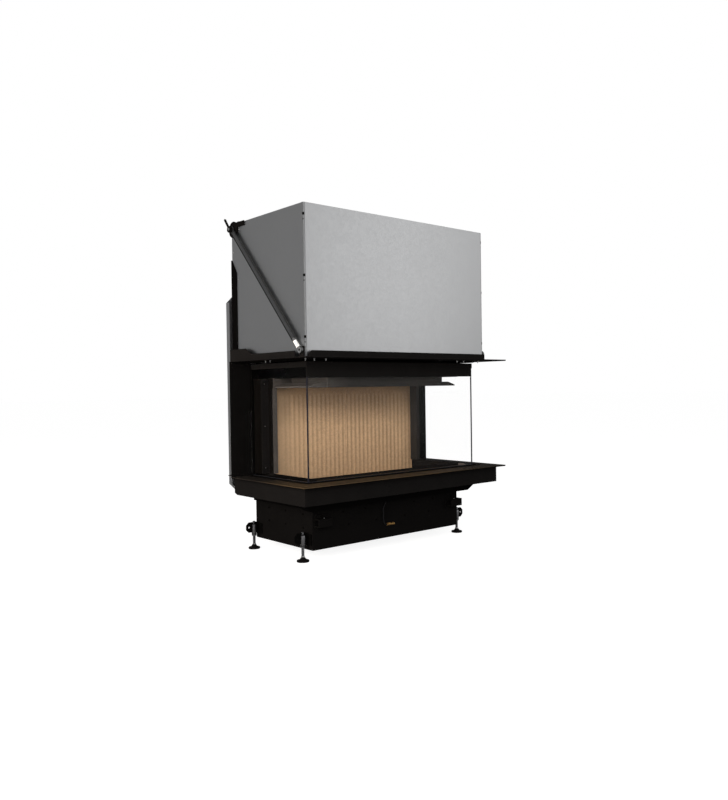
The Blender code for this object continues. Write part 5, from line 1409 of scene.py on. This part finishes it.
class FIREPLACE_OT_studio(FireplaceStep):
    """Set the camera at the photograph's viewpoint, a pale floor and soft lights"""

    bl_idname = "fireplace.studio"
    bl_label = "Studio"

    def execute(self, context):
        self.camera()
        self.floor()
        self.lights()
        self.room()
        bpy.context.scene.view_settings.view_transform = "Standard"
        return {"FINISHED"}

    def camera(self):
        """A camera that looks along yaw and pitch, and then rolls about that line."""
        yaw, pitch, roll = (math.radians(turn) for turn in (40.364, -0.919, -0.843))
        ahead = np.array((math.sin(yaw) * math.cos(pitch), math.cos(yaw) * math.cos(pitch), math.sin(pitch)))
        right = np.array((math.cos(yaw), -math.sin(yaw), 0.0))
        above = np.cross(right, ahead)
        rolled_right = math.cos(roll) * right + math.sin(roll) * above
        rolled_above = math.cos(roll) * above - math.sin(roll) * right
        lens = bpy.data.cameras.new("viewpoint")
        lens.lens = 34.74
        lens.sensor_width = 36
        lens.clip_end = 200
        seen = bpy.data.objects.new("viewpoint", lens)
        seen.rotation_euler = Matrix((rolled_right, rolled_above, -ahead)).transposed().to_euler()
        seen.location = (-2.3378, -2.74455, 0.7201)
        bpy.context.scene.collection.objects.link(seen)
        bpy.context.scene.camera = seen

    def floor(self):
        """A wide floor just under the feet, which glows evenly to the camera alone."""
        made = Finish("studio_floor", specular_ior_level=0.0)
        grain = made.noise(2)
        colour = self.colours.floor
        seen = made.node("ShaderNodeLightPath", output="Is Camera Ray")
        made.feed("Emission Color", made.blend(seen, (0, 0, 0), (1, 1, 1)))
        made.feed("Emission Strength", self.studio.floor_glow)
        made.finished(made.blend(grain, shade(colour, 0.97), colour), 0.9 + 0.05 * grain)
        reach = 60
        x, y = np.meshgrid(*[np.linspace(-reach, reach, 3)] * 2, indexing="ij")
        grid = np.stack((x, y, np.full_like(x, -SUNK)), -1)
        mesh = bpy.data.meshes.new("studio_floor")
        mesh.from_pydata(grid.reshape(-1, 3).tolist(), [], surface_quads(3, 3)[:, ::-1].tolist())
        mesh.materials.append(made.material)
        floor = bpy.data.objects.new("studio_floor", mesh)
        bpy.context.scene.collection.objects.link(floor)
        floor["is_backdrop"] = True

    def lights(self):
        """Three softboxes, of which metal mirrors the right one, and two walls seen only in metal."""
        studio = self.studio
        self.softbox("softbox_right", (3.1, -4.2, 1.9), (0.0, -0.3, 1.0), 3.6, studio.key)
        front = self.softbox("softbox_front", (-2.9, -3.3, 1.5), (0.0, 0.0, 0.6), 1.6, studio.front)
        left = self.softbox("softbox_left", (-4.1, -0.9, 1.1), (-0.3, 0.0, 0.6), 2.4, studio.side)
        left.data.color = (1.0, 0.91, 0.83)
        front.visible_glossy = False
        left.visible_glossy = False
        size = 16.0
        power = studio.walls * math.pi * size**2
        for name, place in (("left_wall", (-7.0, 0.0, 1.2)), ("rear_wall", (0.0, 7.0, 1.2))):
            wall = self.softbox(name, place, (0.0, 0.0, 1.2), size, power)
            wall.visible_diffuse = False

    def softbox(self, name, place, target, size, power):
        """A square light that looks at a target and isn't seen itself."""
        light = bpy.data.lights.new(name, "AREA")
        light.shape = "SQUARE"
        light.size = size
        light.energy = power
        made = bpy.data.objects.new(name, light)
        rows = basis(np.subtract(place, target))
        made.rotation_euler = Matrix(rows).transposed().to_euler()
        made.location = place
        made.visible_camera = False
        bpy.context.scene.collection.objects.link(made)
        return made

    def room(self):
        """White behind the object, and a soft light that is weakest from behind on the left."""
        white = (1, 1, 1, 1)
        world = bpy.data.worlds.new("studio_room")
        bpy.context.scene.world = world
        world.use_nodes = True
        tree = world.node_tree
        tree.nodes.remove(tree.nodes["Background"])
        where = Link.node(tree, "ShaderNodeTexCoord", output="Generated")
        sockets = {0: where, 1: (0.55, -0.75, 0.35)}
        away = Link.node(tree, "ShaderNodeVectorMath", {"operation": "DOT_PRODUCT"}, sockets, output="Value")
        strength = self.studio.room * (0.10 + 0.90 * away.ramp(-0.45, 0.5))
        soft = Link.node(tree, "ShaderNodeBackground", values={"Color": white, "Strength": strength})
        plain = Link.node(tree, "ShaderNodeBackground", values={"Color": white, "Strength": 1.0})
        seen = Link.node(tree, "ShaderNodeLightPath", output="Is Camera Ray")
        mixed = Link.node(tree, "ShaderNodeMixShader", values={0: seen, 1: soft, 2: plain})
        tree.links.new(mixed.socket, tree.nodes["World Output"].inputs["Surface"])


STEPS = (
    FIREPLACE_OT_finishes,
    FIREPLACE_OT_jacket,
    FIREPLACE_OT_hearth,
    FIREPLACE_OT_door,
    FIREPLACE_OT_lifting,
    FIREPLACE_OT_feet,
    FIREPLACE_OT_base,
    FIREPLACE_OT_control,
    FIREPLACE_OT_studio,
)


class FIREPLACE_PT_panel(Panel):
    """The steps and what they are made with"""

    bl_idname = "FIREPLACE_PT_panel"
    bl_label = "Fireplace"
    bl_space_type = "VIEW_3D"
    bl_region_type = "UI"
    bl_category = "Fireplace"

    def draw(self, context):
        for step in STEPS:
            self.layout.operator(step.bl_idname)
        for group in ("fireplace_sizes", "fireplace_colours", "fireplace_studio"):
            holder = getattr(context.scene, group)
            column = self.layout.column(align=True)
            for name in holder.__annotations__:
                column.prop(holder, name)


CLASSES = (FireplaceSizes, FireplaceColours, FireplaceStudio, *STEPS, FIREPLACE_PT_panel)


def register():
    for item in CLASSES:
        bpy.utils.register_class(item)
    bpy.types.Scene.fireplace_sizes = PointerProperty(type=FireplaceSizes)
    bpy.types.Scene.fireplace_colours = PointerProperty(type=FireplaceColours)
    bpy.types.Scene.fireplace_studio = PointerProperty(type=FireplaceStudio)


def unregister():
    del bpy.types.Scene.fireplace_studio
    del bpy.types.Scene.fireplace_colours
    del bpy.types.Scene.fireplace_sizes
    for item in reversed(CLASSES):
        bpy.utils.unregister_class(item)


def main():
    register()
    bpy.ops.fireplace.finishes()
    bpy.ops.fireplace.jacket()
    bpy.ops.fireplace.hearth()
    bpy.ops.fireplace.door()
    bpy.ops.fireplace.lifting()
    bpy.ops.fireplace.feet()
    bpy.ops.fireplace.base()
    bpy.ops.fireplace.control()
    bpy.ops.fireplace.studio()
    boxes = {"cad_box": CAD_BOX, "visual_box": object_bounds()}
    {name: [list(map(float, end)) for end in ends] for name, ends in boxes.items()}


if __name__ == "__main__":
    main()
